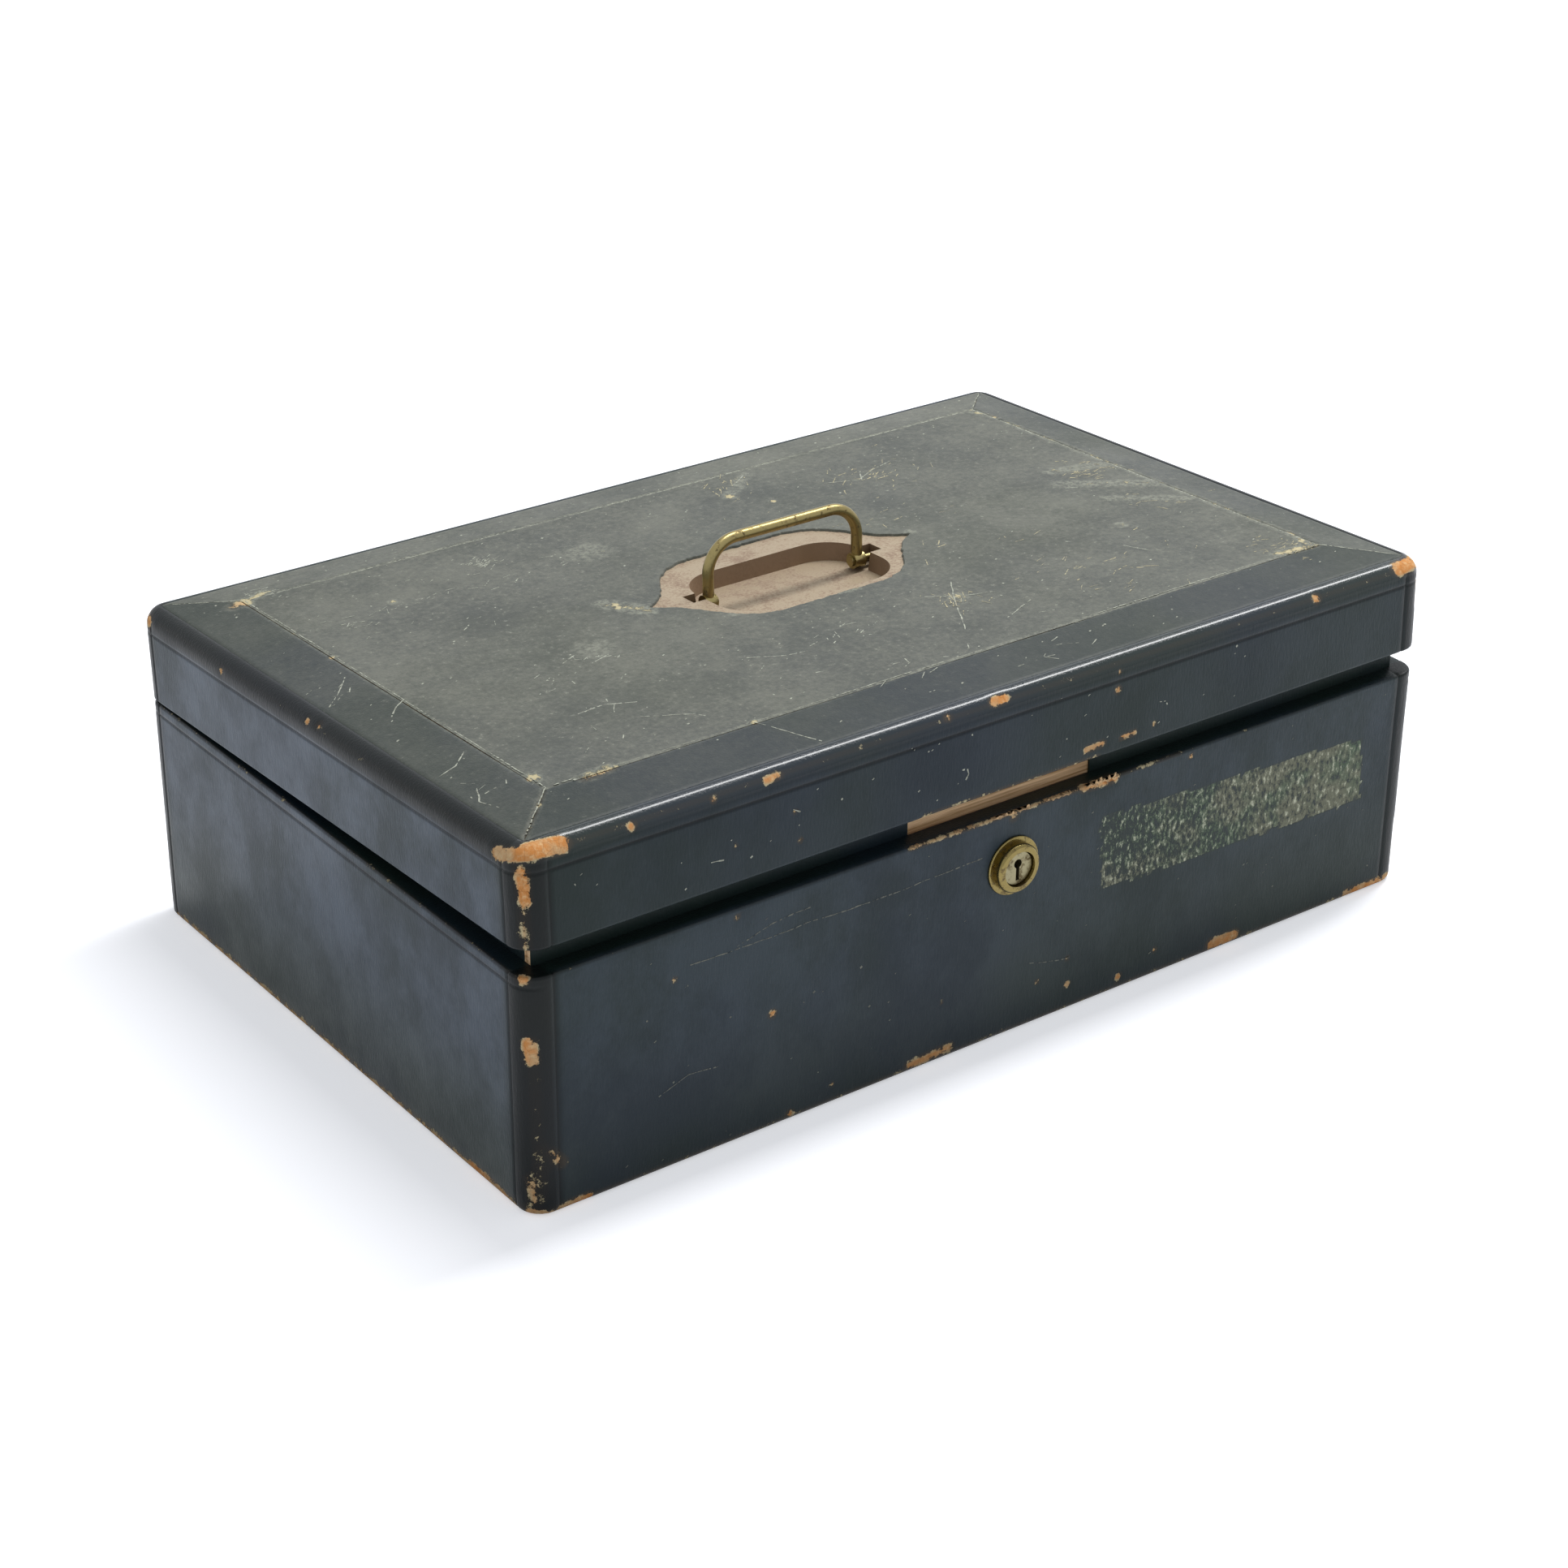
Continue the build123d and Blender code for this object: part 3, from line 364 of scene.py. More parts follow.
class LabelSettings(bpy.types.PropertyGroup):
    paper: colour_property("Paper", "Fibres of the lost label", "c9cbb4")
    green: colour_property("Green", "Greened glue", "5f6e5c")
    brown: colour_property("Brown", "Brown glue", "767867")
    stain: colour_property("Stain", "Grain that the glue has greened", "2a332f")
    fleck: length_property("Fleck", "Width of one fleck", 1.65)


class BrassSettings(bpy.types.PropertyGroup):
    bright: colour_property("Bright brass", "Brass that fingers keep clean", "94865a")
    dull: colour_property("Dull brass", "Tarnished brass", "5c4f36")
    plate: colour_property("Plate", "Pinkish patina of the handle's plate", "a3937b")
    plate_dirt: colour_property("Plate dirt", "Dirt in the pan", "8b7765")
    # painted shade: the darker colour that the pan's steep walls are given
    wall_shade: colour_property("Grime", "Dark grime on the pan's walls", "8a725a")
    lock: colour_property("Lock brass", "Rubbed brass of the lock", "7f7146")
    plug: colour_property("Plug", "Greyed brass of the lock's plug", "8b8468")
    tarnish: length_property("Tarnish", "Size of a tarnish spot", 2.5)


class WoodSettings(bpy.types.PropertyGroup):
    light: colour_property("Light wood", "Early wood of the pine", "e6c190")
    # painted light: the pine in the shaded gap under the lid, here and in the stained colour below, is
    # paler than the other pine
    lit_bared: colour_property("Bared wood", "Pine under torn leather", "ffd8a8")
    stained: colour_property("Stained wood", "Grain lines that glue and dye have stained", "ab7a48")
    dark: colour_property("Dark wood", "Late wood of the pine", "a87a4a")
    ring: length_property("Ring", "Spacing of the grain lines", 1.6)


class LiningSettings(bpy.types.PropertyGroup):
    paper: colour_property("Paper", "Lining paper", "3d3342")
    faded: colour_property("Faded paper", "Lining paper where light has reached it", "564c58")
    fibre: length_property("Fibre", "Length of a paper fibre", 1.4)


class StageSettings(bpy.types.PropertyGroup):
    floor: colour_property("Floor", "Pale floor", "f4f5f8")
    lens: FloatProperty(name="Lens", description="Focal length", unit="CAMERA", default=73.81, min=1)
    world_light: FloatProperty(name="Sky", description="Light from all round", default=0.42, min=0)
    floor_glow: FloatProperty(name="Floor glow", description="White that is only seen", default=0.5, min=0)
    lamp_power: FloatProperty(name="Lamp", description="Watts of the long lamp", default=59, min=0)


# Stage, in metres
LAMP_PLACE = (1.2, 0.2, 2.0)
LAMP_SIZE = (2.4, 0.42)
CAMERA_PLACE = (-0.65216, -0.87227, 0.59982)
CAMERA_RIGHT = (0.80361, -0.59514, 0.00530)
CAMERA_UP = (0.26553, 0.36648, 0.89173)
SENSOR_WIDTH = 36.0
FLOOR_REACH = 6.0
FLOOR_CELLS = 24
FLOOR_DROP = 0.0001


# Geometry helpers

def clamped(value):
    """A value held between 0 and 1."""
    return max(0.0, min(1.0, value))


def ajar(point):
    """A point of the closed lid at the angle at which the lid rests."""
    x, y, z = point
    dy, dz = y - HINGE_Y, z - HINGE_Z
    return Vector((
        x,
        HINGE_Y + dy * math.cos(AJAR) + dz * math.sin(AJAR),
        HINGE_Z - dy * math.sin(AJAR) + dz * math.cos(AJAR),
    ))


def places(low, high, spacing, lines=(), line_reach=0.55):
    """Even places from low to high, with extra ones on and beside each line."""
    extra = [line + step for line in lines for step in (-line_reach, 0, line_reach)]
    extra = [e for e in extra if low < e < high]
    count = max(2, round((high - low) / spacing))
    even = [low + (high - low) * i / count for i in range(count + 1)]
    kept = [e for e in even[1:-1] if all(abs(e - x) > line_reach for x in extra)]
    return sorted([low, high] + kept + extra)


def quarter_turn(centre, radius, start, steps=5):
    """Points on a quarter circle of a profile, as inset and height; start is its first angle."""
    angles = [math.radians(start + 90 * i / steps) for i in range(steps + 1)]
    return [(centre[0] - radius * math.cos(a), centre[1] + radius * math.sin(a)) for a in angles]


def wall_places(spacing):
    """Places along the front and along the sides, with the tooled lines and the hinge leaves' ends."""
    straight_x, straight_y = HALF_LENGTH - CORNER_RADIUS, HALF_DEPTH - CORNER_RADIUS
    leaf_ends = [side * (LEAF_X + step * LEAF_HALF_POCKET) for side in (-1, 1) for step in (-1, 1)]
    x_places = sorted(places(-straight_x, straight_x, spacing, (-TOOLED_X, TOOLED_X)) + leaf_ends)
    return x_places, places(-straight_y, straight_y, spacing, (-TOOLED_Y, TOOLED_Y))


def beside_leaf(point):
    """Whether a point is within the width of a hinge leaf and as far back as one."""
    return abs(abs(point.x) - LEAF_X) < LEAF_HALF_POCKET and point.y > HALF_DEPTH - LEAF_INSET


def rounded_ring(inset, height, x_places, y_places, steps=6):
    """Points round the box at one inset and height, counterclockwise from the front left."""
    radius = max(CORNER_RADIUS - inset, 0)
    reach_x, reach_y = HALF_LENGTH - inset, HALF_DEPTH - inset
    x_run = [max(-reach_x + radius, min(reach_x - radius, x)) for x in x_places]
    y_run = [max(-reach_y + radius, min(reach_y - radius, y)) for y in y_places]
    ring = []

    def corner(sign_x, sign_y, start):
        for i in range(1, steps):
            a = math.radians(start + 90 * i / steps)
            ring.append((
                sign_x * (reach_x - radius) + radius * math.cos(a),
                sign_y * (reach_y - radius) + radius * math.sin(a),
                height,
            ))

    ring += [(x, -reach_y, height) for x in x_run]
    corner(1, -1, -90)
    ring += [(reach_x, y, height) for y in y_run]
    corner(1, 1, 0)
    ring += [(x, reach_y, height) for x in reversed(x_run)]
    corner(-1, 1, 90)
    ring += [(-reach_x, y, height) for y in reversed(y_run)]
    corner(-1, -1, 180)
    return ring


def swell(point, leather):
    """How far a glued skin stands off its board, in slow waves."""
    p = Vector(point)
    return (0.75 * noise.noise(p / 38) + 0.25 * noise.noise(p / 9)) * leather.swell / MM


def wear_reader(scuffs):
    """A function that says how worn a point is: the strongest of the scuffs that reach it."""
    ready = []
    for scuff in scuffs:
        start, along = Vector(scuff.start), Vector(scuff.end) - Vector(scuff.start)
        ready.append((start, along, start + along / 2, along.length / 2 + scuff.reach, scuff))

    def worn(point):
        most = 0.0
        for start, along, middle, limit, scuff in ready:
            if (point - middle).length > limit:
                continue
            offset = point - start
            share = max(0, min(1, offset.dot(along) / along.length_squared)) if along.length else 0
            distance = (offset - along * share).length / scuff.reach
            most = max(most, scuff.strength * (1 - distance * distance))
        return most

    return worn


def linked(name, data):
    """An object of some data, linked to the scene."""
    made = bpy.data.objects.new(name, data)
    bpy.context.scene.collection.objects.link(made)
    return made


def keep_values(mesh, name, values):
    """Keeps one number per point on the mesh for the material to read."""
    attribute = mesh.attributes.new(name, "FLOAT", "POINT")
    attribute.data.foreach_set("value", values)


def skin(name, rows, closed, scuffs, lift, values, placed=None, keep=None):
    """A sheet of leather through rows of points in millimetres.

    lift moves a point along the surface's normal, values holds functions that give a number per
    point for the material, placed puts a point where the part stands, and keep says by a face's
    middle whether that face is there.
    """
    count = len(rows[0])
    points = [Vector(p) for row in rows for p in row]
    span = count if closed else count - 1
    faces = []
    for r in range(len(rows) - 1):
        for c in range(span):
            here, beside = r * count + c, r * count + (c + 1) % count
            face = (here, beside, beside + count, here + count)
            middle = sum((points[i] for i in face), Vector()) / 4
            if keep is None or keep(middle):
                faces.append(face)
    mesh = bpy.data.meshes.new(name)
    mesh.from_pydata(points, [], faces)
    normals = [v.normal.copy() for v in mesh.vertices]
    wear_at = wear_reader(scuffs)
    worn = [wear_at(p) for p in points]
    for vertex, normal, wear in zip(mesh.vertices, normals, worn):
        moved = vertex.co + normal * (lift(vertex.co) - WEAR_DEPTH * wear)
        vertex.co = (placed(moved) if placed else moved) * MM
    keep_values(mesh, "wear", worn)
    for value_name, value_at in values.items():
        keep_values(mesh, value_name, [value_at(p) for p in points])
    mesh.polygons.foreach_set("use_smooth", [True] * len(mesh.polygons))
    mesh.materials.append(shared_leather(bpy.context.scene))
    return linked(name, mesh)


def side_painted_sheen(point):
    """How much painted blue-grey sheen a wall has: most on the left, less low down, none on rounded edges.
    """
    if abs(point.y) > HALF_DEPTH - 1:
        front = PAINTED_SHEEN["body front"] if point.z < BODY_HEIGHT else PAINTED_SHEEN["lid front"]
        by_side, to_corner = (front if point.y < 0 else PAINTED_SHEEN["back"]), HALF_LENGTH - abs(point.x)
    elif abs(point.x) > HALF_LENGTH - 1:
        by_side, to_corner = PAINTED_SHEEN["left" if point.x < 0 else "right"], HALF_DEPTH - abs(point.y)
    else:
        return 0.0
    upward = clamped((point.z - 5) / 55)
    off_corner = clamped((to_corner - 10) / 5)
    below_edge = clamped(LID_EDGE - LID_EDGE_ROUND - point.z)
    return by_side * (0.5 + 0.5 * upward) * off_corner * below_edge


def handled(point):
    """How much hands have darkened a place: the corners and the lid's ends, up to their tooled lines."""
    in_corner = min(abs(point.x) - TOOLED_X, abs(point.y) - TOOLED_Y)
    at_end = abs(point.x) > HALF_LENGTH - CORNER_RADIUS
    above_line = point.z - LID_EDGE + TOOLED_BELOW_TOP if at_end else 0.0
    return clamped(max(in_corner, above_line))


def tooled(distance, settings):
    """How much painted shade darkens the surface at a distance from the middle of a tooled line."""
    return max(0.0, 1 - abs(distance) / (settings.groove_width / MM))


def groove(distance, settings):
    """The drop of the surface at a distance from the middle of a tooled line."""
    half = settings.groove_width / MM / 2
    depth = settings.groove_depth / MM
    return -depth * max(0.0, 1 - abs(distance) / half)


def top_height(x, y):
    """The height of the closed lid's top, border and panel, above a place."""
    inset = min(HALF_LENGTH - abs(x), HALF_DEPTH - abs(y))
    share = clamped((inset - LID_EDGE_ROUND) / BORDER_WIDTH)
    return LID_EDGE + (LID_PANEL - LID_EDGE) * share


def arc(start, middle, end, steps):
    """Points on the circle through three points, from start up to but without end."""
    (ax, ay), (bx, by), (cx, cy) = start, middle, end
    d = 2 * (ax * (by - cy) + bx * (cy - ay) + cx * (ay - by))
    a2, b2, c2 = ax * ax + ay * ay, bx * bx + by * by, cx * cx + cy * cy
    ux = (a2 * (by - cy) + b2 * (cy - ay) + c2 * (ay - by)) / d
    uy = (a2 * (cx - bx) + b2 * (ax - cx) + c2 * (bx - ax)) / d
    first = math.atan2(ay - uy, ax - ux)
    turn = math.remainder(math.atan2(cy - uy, cx - ux) - first, math.tau)
    radius = math.hypot(ax - ux, ay - uy)
    angles = [first + turn * i / steps for i in range(steps)]
    return [(ux + radius * math.cos(a), uy + radius * math.sin(a)) for a in angles]


def plate_outline():
    """The handle plate's outline, clockwise seen from above, about the plate's own middle."""
    def bowed(a, b, bow):
        return (a[0] + b[0]) / 2 + bow, (a[1] + b[1]) / 2 + bow

    quarter = [(0.0, PLATE_FLAT[1])]
    quarter += arc(PLATE_FLAT, bowed(PLATE_FLAT, PLATE_SHOULDER, SHOULDER_BOW), PLATE_SHOULDER, 14)
    quarter += [PLATE_SHOULDER]
    quarter += arc(PLATE_CUSP, bowed(PLATE_CUSP, PLATE_TIP, OGEE_BOW), PLATE_TIP, 12)
    right = quarter + [PLATE_TIP] + [(x, -y) for x, y in reversed(quarter)]
    return right + [(-x, y) for x, y in reversed(right)][1:-1]


def evenly(points, count):
    """A closed line of points, taken again at even steps."""
    line = points + [points[0]]
    lengths = [math.dist(a, b) for a, b in zip(line, line[1:])]
    total, taken, walked, leg = sum(lengths), [], 0.0, 0
    for i in range(count):
        target = total * i / count
        while walked + lengths[leg] < target:
            walked += lengths[leg]
            leg += 1
        share = (target - walked) / lengths[leg]
        (ax, ay), (bx, by) = line[leg], line[leg + 1]
        taken.append((ax + (bx - ax) * share, ay + (by - ay) * share))
    return taken


# Material helpers

MIX_FACTOR, MIX_A, MIX_B, MIX_RESULT = 0, 6, 7, 2
LEATHER_NAME = "straight_grained_goatskin_dyed_and_glazed"
NEAR_BLACK = (0.002, 0.002, 0.002, 1.0)


def node(tree, kind, inputs=None, **settings):
    """Adds a shader node with its own settings; an input is a value or the socket that feeds it."""
    made = tree.nodes.new("ShaderNode" + kind)
    for name, value in settings.items():
        setattr(made, name, value)
    for name, value in (inputs or {}).items():
        if isinstance(value, bpy.types.NodeSocket):
            tree.links.new(value, made.inputs[name])
        else:
            made.inputs[name].default_value = value
    return made


class Recipe:
    """A material in the making. Most calls add nodes and give back the socket that holds the result."""

    def __init__(self, name):
        self.material = bpy.data.materials.new(name)
        self.material.use_nodes = True
        self.tree = self.material.node_tree
        self.tree.nodes.clear()
        self.place = self.add("TexCoord").outputs["Object"]

    def add(self, kind, inputs=None, **settings):
        """A node in this material's tree."""
        return node(self.tree, kind, inputs, **settings)

    def noise(self, scale, detail, roughness, stretch=(1, 1, 1)):
        """Fractal noise in the object's own space, with a scale for each axis."""
        place = self.add("Mapping", {"Vector": self.place, "Scale": [scale * s for s in stretch]})
        return self.add("TexNoise", {
            "Vector": place.outputs[0], "Scale": 1.0, "Detail": detail, "Roughness": roughness}).outputs[0]

    def ramp(self, value, low, high, to_low=0.0, to_high=1.0, curve="LINEAR"):
        """A value between low and high as one between to_low and to_high."""
        return self.add("MapRange", {
            "Value": value, "From Min": low, "From Max": high, "To Min": to_low, "To Max": to_high},
            interpolation_type=curve).outputs[0]

    def share(self, value, low, high, to_low=0.0, to_high=1.0):
        """A ramp that is eased at both ends."""
        return self.ramp(value, low, high, to_low, to_high, "SMOOTHSTEP")

    def mixed(self, share, first, second):
        """Two colours mixed by a share."""
        return self.add("Mix", {MIX_FACTOR: share, MIX_A: first, MIX_B: second},
                        data_type="RGBA").outputs[MIX_RESULT]

    def maths(self, operation, first, second, third=0.0):
        """A sum, product or the like of two or three values."""
        return self.add("Math", {0: first, 1: second, 2: third}, operation=operation).outputs[0]

    def kept(self, name):
        """The number that the mesh keeps at each point under a name."""
        return self.add("Attribute", attribute_name=name).outputs["Fac"]

    def relief(self, height, strength, depth):
        """Small relief from a height; depth is in millimetres."""
        return self.add("Bump", {"Height": height, "Strength": strength, "Distance": depth * MM}).outputs[0]

    def finish(self, shader):
        """Gives the material its shader and hands the material over."""
        output = self.add("OutputMaterial")
        self.tree.links.new(shader.outputs[0], output.inputs[0])
        return self.material

    def finish_surface(self, colour, roughness, relief=None, **values):
        """Gives the material the common shader; in a value's name, each space is an underscore."""
        inputs = {"Base Color": colour, "Roughness": roughness}
        inputs.update({name.replace("_", " "): value for name, value in values.items()})
        if relief:
            inputs["Normal"] = relief
        return self.finish(self.add("BsdfPrincipled", inputs))


def leather_material(leather, label):
    """Straight-grained goatskin, vegetable tanned, dyed, glazed by rubbing and stretched over boards.

    The eye sees a near-black blue-green skin with fine upright creases. Its sheen is a sharp line on the
    polished edges and a blue-grey sheen painted onto the walls; where hands have rubbed the top, a dull,
    dust-flecked haze that is partly painted sheen.
    Edges and corners have browned and worn through the dye to orange-tan fibre.
    """
    recipe = Recipe(LEATHER_NAME)
    noise_at, share, mixed, maths = recipe.noise, recipe.share, recipe.mixed, recipe.maths
    wear, rubbed, painted_sheen, polish, handled_here, label_here, groove_shade_here = (
        recipe.kept(name) for name in ("wear", "rubbed", "painted_sheen", "polish", "handled", "label", "tooled"))

    # dyed grain, with a painted blue-grey sheen on the walls, greener low down
    grain = noise_at(1 / leather.grain, 3.0, 0.6, (1, 1, 0.25))
    tone = noise_at(9.0, 3.0, 0.55)
    dyed = mixed(share(tone, 0.38, 0.62), leather.navy, leather.green_black)
    mottle = noise_at(26.0, 10.0, 0.7, (1, 1, 0.75))
    sheen_share = maths("MULTIPLY", share(mottle, 0.36, 0.66, 0.25, 1.0), painted_sheen)
    height = recipe.add("SeparateXYZ", {0: recipe.place}).outputs["Z"]
    sheen_colour = mixed(share(height, 0.0, 0.06), leather.dusty_sheen, leather.painted_sheen)
    sheened = mixed(sheen_share, dyed, sheen_colour)

    # dust, flecks and knocks where hands have rubbed the top; the rubbed grey also paints the top's sheen
    clouds = noise_at(22.0, 9.0, 0.7)
    dust = noise_at(430.0, 6.0, 0.8)
    haze_and_sheen_share = maths("MULTIPLY", share(maths("ADD", clouds, dust), 0.74, 1.3, 0.42, 0.92), rubbed)
    hazy_and_sheened = mixed(haze_and_sheen_share, sheened, leather.rubbed)
    fleck_share = maths("MULTIPLY", share(dust, 0.6, 0.72, 0.0, 0.6), rubbed)
    flecked = mixed(fleck_share, hazy_and_sheened, leather.scratch)
    roughened = maths("MULTIPLY", share(wear, 0.02, 0.4, 0.0, 0.8), share(dust, 0.42, 0.6, 0.15, 1.0))
    chafed = mixed(maths("MULTIPLY", roughened, rubbed), flecked, leather.chafed)

    # paper fibres and glue of the lost label
    fibres = noise_at(1 / label.fleck, 4.0, 0.75, (1, 1, 0.55))
    patches = noise_at(38.0, 3.0, 0.6)
    cover = maths("ADD", maths("MULTIPLY_ADD", patches, 0.2, fibres), label_here)
    label_share = share(cover, 1.36, 1.5)
    to_right = share(maths("ADD", patches, label_here), 1.26, 1.44)
    glue = mixed(to_right, label.green, label.brown)
    label_colour = mixed(share(fibres, 0.54, 0.7), glue, label.paper)
    stained = mixed(share(label_here, 0.2, 0.8, 0.0, 0.7), chafed, label.stain)
    labelled = mixed(label_share, stained, label_colour)

    # browned grain round the worn places, and blackened grain on the handled corners and in the tooled
    # lines, where the blackening is painted shade in the grooves
    dyed_share = maths("SUBTRACT", 1.0, rubbed)
    browned_share = maths("MULTIPLY", share(wear, 0.2, 0.62, 0.0, 0.6), dyed_share)
    browned = mixed(browned_share, labelled, leather.browned)
    darkened = maths("MAXIMUM", maths("MULTIPLY", groove_shade_here, 0.75), maths("MULTIPLY", handled_here, 0.75))
    blackened = mixed(darkened, browned, NEAR_BLACK)

    # bare fibre where the grain is worn through, with cracks of grain left in it
    ragged = maths("ADD", maths("MULTIPLY", noise_at(800.0, 8.0, 0.8), 0.8), noise_at(240.0, 4.0, 0.6))
    cracks = recipe.add("TexVoronoi", {"Vector": recipe.place, "Scale": 300.0}, feature="DISTANCE_TO_EDGE")
    whole = share(cracks.outputs["Distance"], 0.0, 0.05, 0.82)
    worn = maths("MULTIPLY", share(maths("ADD", wear, ragged), 1.42, 1.5), whole)
    fibre_noise = noise_at(520.0, 5.0, 0.75)
    spread = noise_at(90.0, 2.0, 0.5)
    fibre = mixed(share(fibre_noise, 0.42, 0.76), leather.tan, leather.pale_tan)
    slight = share(wear, 0.46, 0.72, 0.95, 0.0)
    dry_share = maths("MAXIMUM", share(spread, 0.4, 0.64, 0.0, 0.5), slight)
    dry_fibre = mixed(dry_share, fibre, leather.old_fibre)
    shown_fibre = mixed(rubbed, dry_fibre, leather.old_fibre)
    colour = mixed(worn, blackened, shown_fibre)

    # glazed grain, polished on the edges and dull where it is rubbed, worn or glued
    dry = maths("MAXIMUM", worn, label_share)
    glaze = share(mottle, 0.3, 0.7, 0.44, 0.34)
    dulled = maths("MULTIPLY_ADD", rubbed, 0.16, glaze)
    polished = maths("MULTIPLY_ADD", polish, -0.17, dulled)
    roughness = recipe.ramp(dry, 0.0, 1.0, polished, 0.9)
    relief = recipe.relief(maths("MULTIPLY_ADD", dry, -1.4, grain), 0.7, 0.2)
    wax = maths("MULTIPLY", polish, maths("MULTIPLY_ADD", dry, -0.5, 0.5))
    return recipe.finish_surface(
        colour, roughness, relief, IOR=1.45, Specular_IOR_Level=0.22,
        Coat_Weight=wax, Coat_Roughness=0.08, Coat_IOR=1.5)


def scratch_material(name, base, line):
    """Goatskin grain that a point has scored: a dry, slightly furred line over the skin's own colour."""
    recipe = Recipe(name)
    fur = recipe.noise(500.0, 4.0, 0.7)
    colour = recipe.mixed(recipe.ramp(fur, 0.36, 0.56), base, line)
    return recipe.finish_surface(colour, 0.85, recipe.relief(fur, 0.6, 0.1), IOR=1.45)


def torn_material(leather):
    """Torn edge of tanned skin: matt buff fibre, browner where it is thin."""
    recipe = Recipe("torn_tanned_fibre")
    fibres = recipe.noise(700.0, 5.0, 0.75)
    colour = recipe.mixed(recipe.ramp(fibres, 0.38, 0.6), leather.torn, leather.pale_tan)
    return recipe.finish_surface(colour, 0.92, recipe.relief(fibres, 0.9, 0.3), IOR=1.45)


def brass_material(name, brass, bright, dull, roughness, cover):
    """Cast, turned or rolled brass, once lacquered: bright with brown spots of tarnish."""
    recipe = Recipe(name)
    spots = recipe.noise(1 / brass.tarnish, 7.0, 0.68)
    share = recipe.share(spots, 0.62 - cover / 2, 0.72 - cover / 4)
    rough = recipe.ramp(share, 0.0, 1.0, roughness, min(1.0, roughness + 0.3))
    relief = recipe.relief(recipe.noise(1400.0, 3.0, 0.6), 0.35, 0.1)
    return recipe.finish_surface(recipe.mixed(share, bright, dull), rough, relief, Metallic=1.0)


def plate_material(brass):
    """Pressed brass whose lacquer has gone to a matt pinkish patina, with painted shade on the pan's steep
    walls.
    """
    recipe = Recipe("pressed_brass_under_old_patina")
    broad, fine = recipe.noise(90.0, 6.0, 0.65), recipe.noise(900.0, 4.0, 0.7)
    share = recipe.share(recipe.maths("ADD", broad, fine), 0.9, 1.25)
    facing = recipe.add("TexCoord").outputs["Normal"]
    upward = recipe.add("SeparateXYZ", {0: facing}).outputs["Z"]
    patina = recipe.mixed(share, brass.plate, brass.plate_dirt)
    # painted shade: the steeper the surface, the darker
    colour = recipe.mixed(recipe.ramp(upward, 0.85, 0.4), patina, brass.wall_shade)
    rough = recipe.ramp(share, 0.0, 1.0, 0.5, 0.85)
    return recipe.finish_surface(colour, rough, recipe.relief(fine, 0.5, 0.12), Metallic=0.35)


def wood_material(name, wood, along_x, light, dark, contrast=0.32):
    """Planed pine, left bare: warm straw wood with close darker grain lines along the board."""
    recipe = Recipe(name)
    across, along = 1 / wood.ring, 1 / (40 * wood.ring)
    grain = recipe.noise(1.0, 4.0, 0.65, (along, across, across) if along_x else (across, along, across))
    colour = recipe.mixed(recipe.ramp(grain, 0.4, 0.4 + contrast), light, dark)
    return recipe.finish_surface(colour, 0.68, recipe.relief(grain, 0.5, 0.2), IOR=1.5)


def lining_material(lining):
    """Dyed lining paper, pasted down: matt, with short fibres and faded clouds."""
    recipe = Recipe("pasted_lining_paper")
    fibres, clouds = recipe.noise(1 / lining.fibre, 6.0, 0.75), recipe.noise(14.0, 4.0, 0.6)
    share = recipe.ramp(recipe.maths("ADD", fibres, clouds), 0.8, 1.25)
    colour = recipe.mixed(share, lining.paper, lining.faded)
    return recipe.finish_surface(colour, 0.9, recipe.relief(fibres, 0.4, 0.1), IOR=1.45)


def steel_material():
    """Drawn steel wire of the hinge pins: dull grey with brown rust freckles."""
    recipe = Recipe("drawn_steel_wire_freckled_with_rust")
    share = recipe.ramp(recipe.noise(600.0, 5.0, 0.7), 0.5, 0.68)
    colour = recipe.mixed(share, to_linear("8c8a86"), to_linear("5a3d29"))
    return recipe.finish_surface(colour, recipe.ramp(share, 0.0, 1.0, 0.38, 0.8), Metallic=1.0)


def seen_or_mirrored(tree):
    """1 for what the camera sees, also in a reflection or through something clear, and 0 for light."""
    rays = node(tree, "LightPath").outputs
    largest = rays["Is Camera Ray"]
    for kind in ("Transmission", "Glossy"):
        pair = {0: largest, 1: rays[f"Is {kind} Ray"]}
        largest = node(tree, "Math", pair, operation="MAXIMUM").outputs[0]
    return largest


def floor_material(stage):
    """Pale seamless paper. It shows as white to the camera and keeps the shadow."""
    recipe = Recipe("pale_seamless_paper")
    relief = recipe.relief(recipe.noise(120.0, 4.0, 0.6), 0.05, 0.5)
    paper = recipe.add("BsdfDiffuse", {"Color": stage.floor, "Roughness": 0.6, "Normal": relief})
    strength = recipe.maths("MULTIPLY", seen_or_mirrored(recipe.tree), stage.floor_glow)
    glow = recipe.add("Emission", {"Color": stage.floor, "Strength": strength})
    return recipe.finish(recipe.add("AddShader", {0: paper.outputs[0], 1: glow.outputs[0]}))


def paint(names, material):
    """Gives CAD nodes a material."""
    for name in names:
        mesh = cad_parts[name].data
        mesh.materials.clear()
        mesh.materials.append(material)


def shared_leather(scene):
    """The one leather material, made when it is first asked for."""
    found = bpy.data.materials.get(LEATHER_NAME)
    return found or leather_material(scene.box_leather, scene.box_label)


# Operators, one for each piece or group of like pieces

